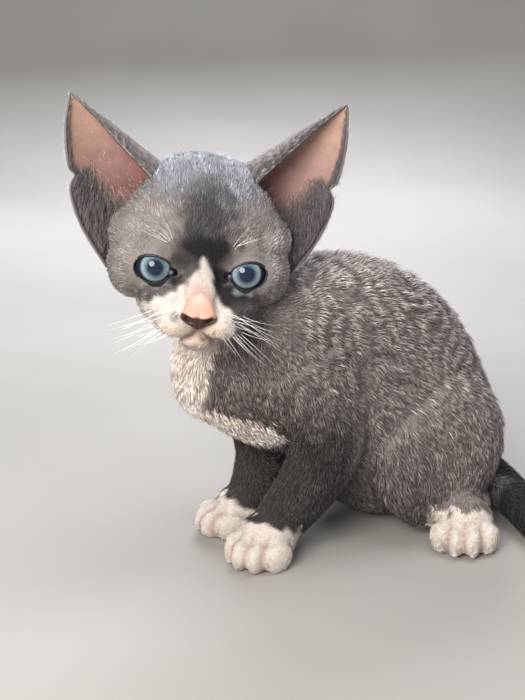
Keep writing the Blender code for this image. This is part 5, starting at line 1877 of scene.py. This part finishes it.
@dataclass
class Skin:
    """The one skin under the coat: head and body melted together, with the ears' roots and the lids cut open."""

    bench: Bench
    nodes: tuple = (
        "head", "neck", "chest", "abdomen", "foreleg_left", "foreleg_right", "forepaw_left", "forepaw_right",
        "thigh_left", "thigh_right", "hindfoot_left", "hindfoot_right", "tail_base", "tail_middle", "tail_tip",
    )

    def shrink(self, piece: bpy.types.Object, coat: CoatMap) -> None:
        """Draws the skin in from the coat's tips, by the coat's depth."""
        places, normals = self.bench.places(piece), self.bench.normals(piece)
        depth = coat.at(places, normals).depth
        self.bench.move(piece, places - normals * depth[:, None])

    def build(self, coat: CoatMap) -> tuple[bpy.types.Object, Array]:
        """Makes the skin.

        Args:
            coat: how deep the coat is.

        Returns:
            The skin, and for each vertex 1 where the coat grows and 0 where it doesn't.
        """
        skull = Skull()
        skin, body = skull.build(self.bench), BODY.build(self.bench)
        LOG.info("forms melted: head %d, body %d faces", len(skin.data.polygons), len(body.data.polygons))
        for piece in (skin, body):
            self.shrink(piece, coat)
        self.bench.combine(skin, body, "UNION")
        places = self.bench.places(skin)
        seam = np.exp(-(((places - NECK_PLACE) @ NECK_WAY / 5.0) ** 2)) * (places[:, 2] > 62.0)
        self.bench.soften(skin, seam, 14)
        places, normals = self.bench.places(skin), self.bench.normals(skin)
        places = places + normals * skull.fold(HEAD.into(places))[:, None]
        places[:, 2] = np.maximum(places[:, 2], 0.0)
        self.bench.move(skin, places)
        finishes = [SkinFinish().material(), EarSkinFinish("lining").material()]
        skin.data.materials.clear()
        for finish in finishes:
            skin.data.materials.append(finish)
        for cutter in [ear.hollow() for ear in EARS.values()] + [self.opening(eye) for eye in EYES.values()]:
            cut = self.bench.make("cut", cutter)
            for finish in finishes:
                cut.data.materials.append(finish)
            cut.data.polygons.foreach_set("material_index", np.ones(len(cut.data.polygons), np.int32))
            self.bench.combine(skin, cut, "DIFFERENCE")
        places = self.bench.places(skin)
        lining = self.lining(skin)
        colours = MARKINGS.colour(places) * 0.6
        # the cut faces: dark red in the ears' hollows, painted shade deep in the cup, and near black between the lids
        deep = np.where(HEAD.into(places)[:, 1:2] > 12.0, [[0.090, 0.036, 0.036]], [[0.012, 0.010, 0.011]])
        self.bench.colour(skin, np.where(lining[:, None] > 0.5, deep, colours))
        skin.data.shade_smooth()
        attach(skin, "root")
        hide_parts(*self.nodes)
        triangles = sum(len(face.vertices) - 2 for face in skin.data.polygons)
        LOG.info("skin: %d triangles", triangles)
        return skin, self.growing(places) * (1.0 - lining)

    def lining(self, skin: bpy.types.Object) -> Array:
        """1 at the vertices of the cut faces, in the ears' cups and between the lids, and 0 elsewhere."""
        mesh = skin.data
        kinds = np.empty(len(mesh.polygons), np.int32)
        mesh.polygons.foreach_get("material_index", kinds)
        sizes = np.empty(len(mesh.polygons), np.int32)
        mesh.polygons.foreach_get("loop_total", sizes)
        corners = np.empty(len(mesh.loops), np.int32)
        mesh.loops.foreach_get("vertex_index", corners)
        marked = np.zeros(len(mesh.vertices))
        marked[corners[np.repeat(kinds, sizes) == 1]] = 1.0
        return marked

    def opening(self, eye: Eye) -> Shell:
        """The space between the lids and round the ball: the opening's outline from the front back to the socket."""
        angle = np.linspace(0.0, 2 * np.pi, 64, endpoint=False)
        rings = []
        for y, grow in ((-14.0, 1.5), (-8.0, 0.15), (-5.5, 0.0), (-4.0, 0.8), (-1.0, 1.2), (3.0, 0.4)):
            flat = eye.opening(angle, grow)
            rings.append(np.stack([flat[:, 0], np.full(64, y), flat[:, 1]], axis=1))
        return wrap(eye.frame.out(np.stack(rings)))

    def growing(self, places: Array) -> Array:
        """Where the coat grows: not on the lids' edges, on the nose or under the feet."""
        grows = np.ones(len(places))
        for eye in EYES.values():
            inner = eye.frame.into(places)
            grows *= ~((eye.reach(places) < 0.3) & (inner[:, 1] < 4.0) & (np.linalg.norm(inner, axis=1) < 12.0))
        local = HEAD.into(places)
        nose = (np.abs(local[:, 0] + 0.3) < 5.2) & (local[:, 2] < -6.4) & (local[:, 2] > -15.2) & (local[:, 1] < -6.0)
        wide = np.interp(local[:, 2], [-15.7, -14.0, -11.6, -9.0, -7.0, -4.6], [0.6, 2.9, 5.2, 4.3, 3.4, 0.8])
        grows *= ~(nose & (np.abs(local[:, 0] + 0.3) < wide))
        grows *= places[:, 2] > 0.35
        return grows


# The room


@dataclass(frozen=True)
class Room:
    """The floor, the light and the camera at the photograph's angle."""

    camera: Triple = (441.3, -244.6, 214.5)
    right: Triple = (0.5, 0.866, 0.0)
    up: Triple = (-0.2387, 0.1378, 0.9613)
    pixels: float = 1560.0
    long_side: float = 700.0

    def build(self, bench: Bench) -> None:
        """Makes floor, lights and camera."""
        self.floor(bench)
        self.lights(bench)
        self.set_camera(bench)

    def floor(self, bench: Bench) -> None:
        """A plain pale sheet that rises behind the kitten in a wide curve: a quarter circle between two straights."""
        bend = np.linspace(0.1, np.pi / 2, 12)
        away = np.concatenate([np.linspace(-2600.0, 700.0, 12), 700 + 500 * np.sin(bend), np.full(4, 1200.0)])
        rise = np.concatenate([np.zeros(12), 500 - 500 * np.cos(bend), np.linspace(800, 2600, 4)])
        side = np.array(self.right)
        ahead = np.cross((0.0, 0.0, 1.0), side)
        across = np.linspace(-2600.0, 2600.0, 14)
        grid = away[:, None, None] * ahead + across[None, :, None] * side
        grid = grid + rise[:, None, None] * np.array([0.0, 0.0, 1.0])
        ids = np.arange(grid.shape[0] * grid.shape[1]).reshape(grid.shape[:2])
        quads = np.stack([ids[:-1, :-1], ids[:-1, 1:], ids[1:, 1:], ids[1:, :-1]], axis=-1).reshape(-1, 4)
        shell = Shell(grid.reshape(-1, 3) - [0, 0, 0.05], quads, np.zeros((0, 3), int))
        floor = bench.make("floor", shell)
        floor.data.materials.append(PlainFinish("floor", (0.30, 0.285, 0.27), 0.9, 4.0, gloss=0.1).material())

    def lights(self, bench: Bench) -> None:
        """A broad soft light ahead and above, a cool one behind for the bright edges, and pale air."""
        bpy.context.scene.view_settings.view_transform = "Standard"
        world = bpy.data.worlds.new("air")
        bpy.context.scene.world = world
        world.use_nodes = True
        air = world.node_tree.nodes["Background"]
        air.inputs[0].default_value = (0.93, 0.96, 1.0, 1.0)
        air.inputs[1].default_value = 0.60
        target = np.array([10.0, 20.0, 70.0])
        for name, place, size, power, colour in (
            ("key", (520.0, -640.0, 480.0), 0.55, 14.5, (1.0, 0.96, 0.91)),
            ("edge", (-620.0, 330.0, 500.0), 0.50, 9.0, (0.90, 0.95, 1.0)),
            ("top", (60.0, 160.0, 900.0), 0.60, 4.5, (0.95, 0.97, 1.0)),
        ):
            light = bpy.data.lights.new(name, "AREA")
            light.shape = "DISK"
            light.size = size
            light.energy = power
            light.color = colour
            lamp = bpy.data.objects.new(name, light)
            bpy.context.scene.collection.objects.link(lamp)
            aim = unit(np.array(place) - target)
            side = unit(np.cross([0.0, 0.0, 1.0], aim))
            turn = Matrix(np.stack([side, np.cross(aim, side), aim], axis=1).tolist()).to_4x4()
            lamp.matrix_world = Matrix.Translation(((np.array(place) + bench.shift) * MM).tolist()) @ turn

    def set_camera(self, bench: Bench) -> None:
        """Places the camera: its lens is the photograph's scale on a 36 mm film."""
        lens = bpy.data.cameras.new("camera")
        lens.sensor_fit = "AUTO"
        lens.sensor_width = 36.0
        lens.lens = 36.0 * self.pixels / self.long_side
        lens.clip_start = 0.01
        camera = bpy.data.objects.new("camera", lens)
        bpy.context.scene.collection.objects.link(camera)
        side, up = np.array(self.right), np.array(self.up)
        turn = Matrix(np.stack([side, up, np.cross(side, up)], axis=1).tolist()).to_4x4()
        camera.matrix_world = Matrix.Translation(((np.array(self.camera) + bench.shift) * MM).tolist()) @ turn
        bpy.context.scene.camera = camera


def main() -> None:
    """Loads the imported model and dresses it."""
    logging.basicConfig(level=logging.INFO, format="%(message)s")
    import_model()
    bench = Bench()
    Room().build(bench)
    hair = CoatFinish().material()
    coat = Coat(bench, hair)
    skin, grows = Skin(bench).build(coat.map)
    Nose(bench).build()
    Eyeballs(bench).build()
    ears = Ears(bench, hair)
    for side in EARS:
        ears.build(side)
    Whiskers(bench).build()
    coat.grow(skin, grows)


if __name__ == "__main__":
    main()
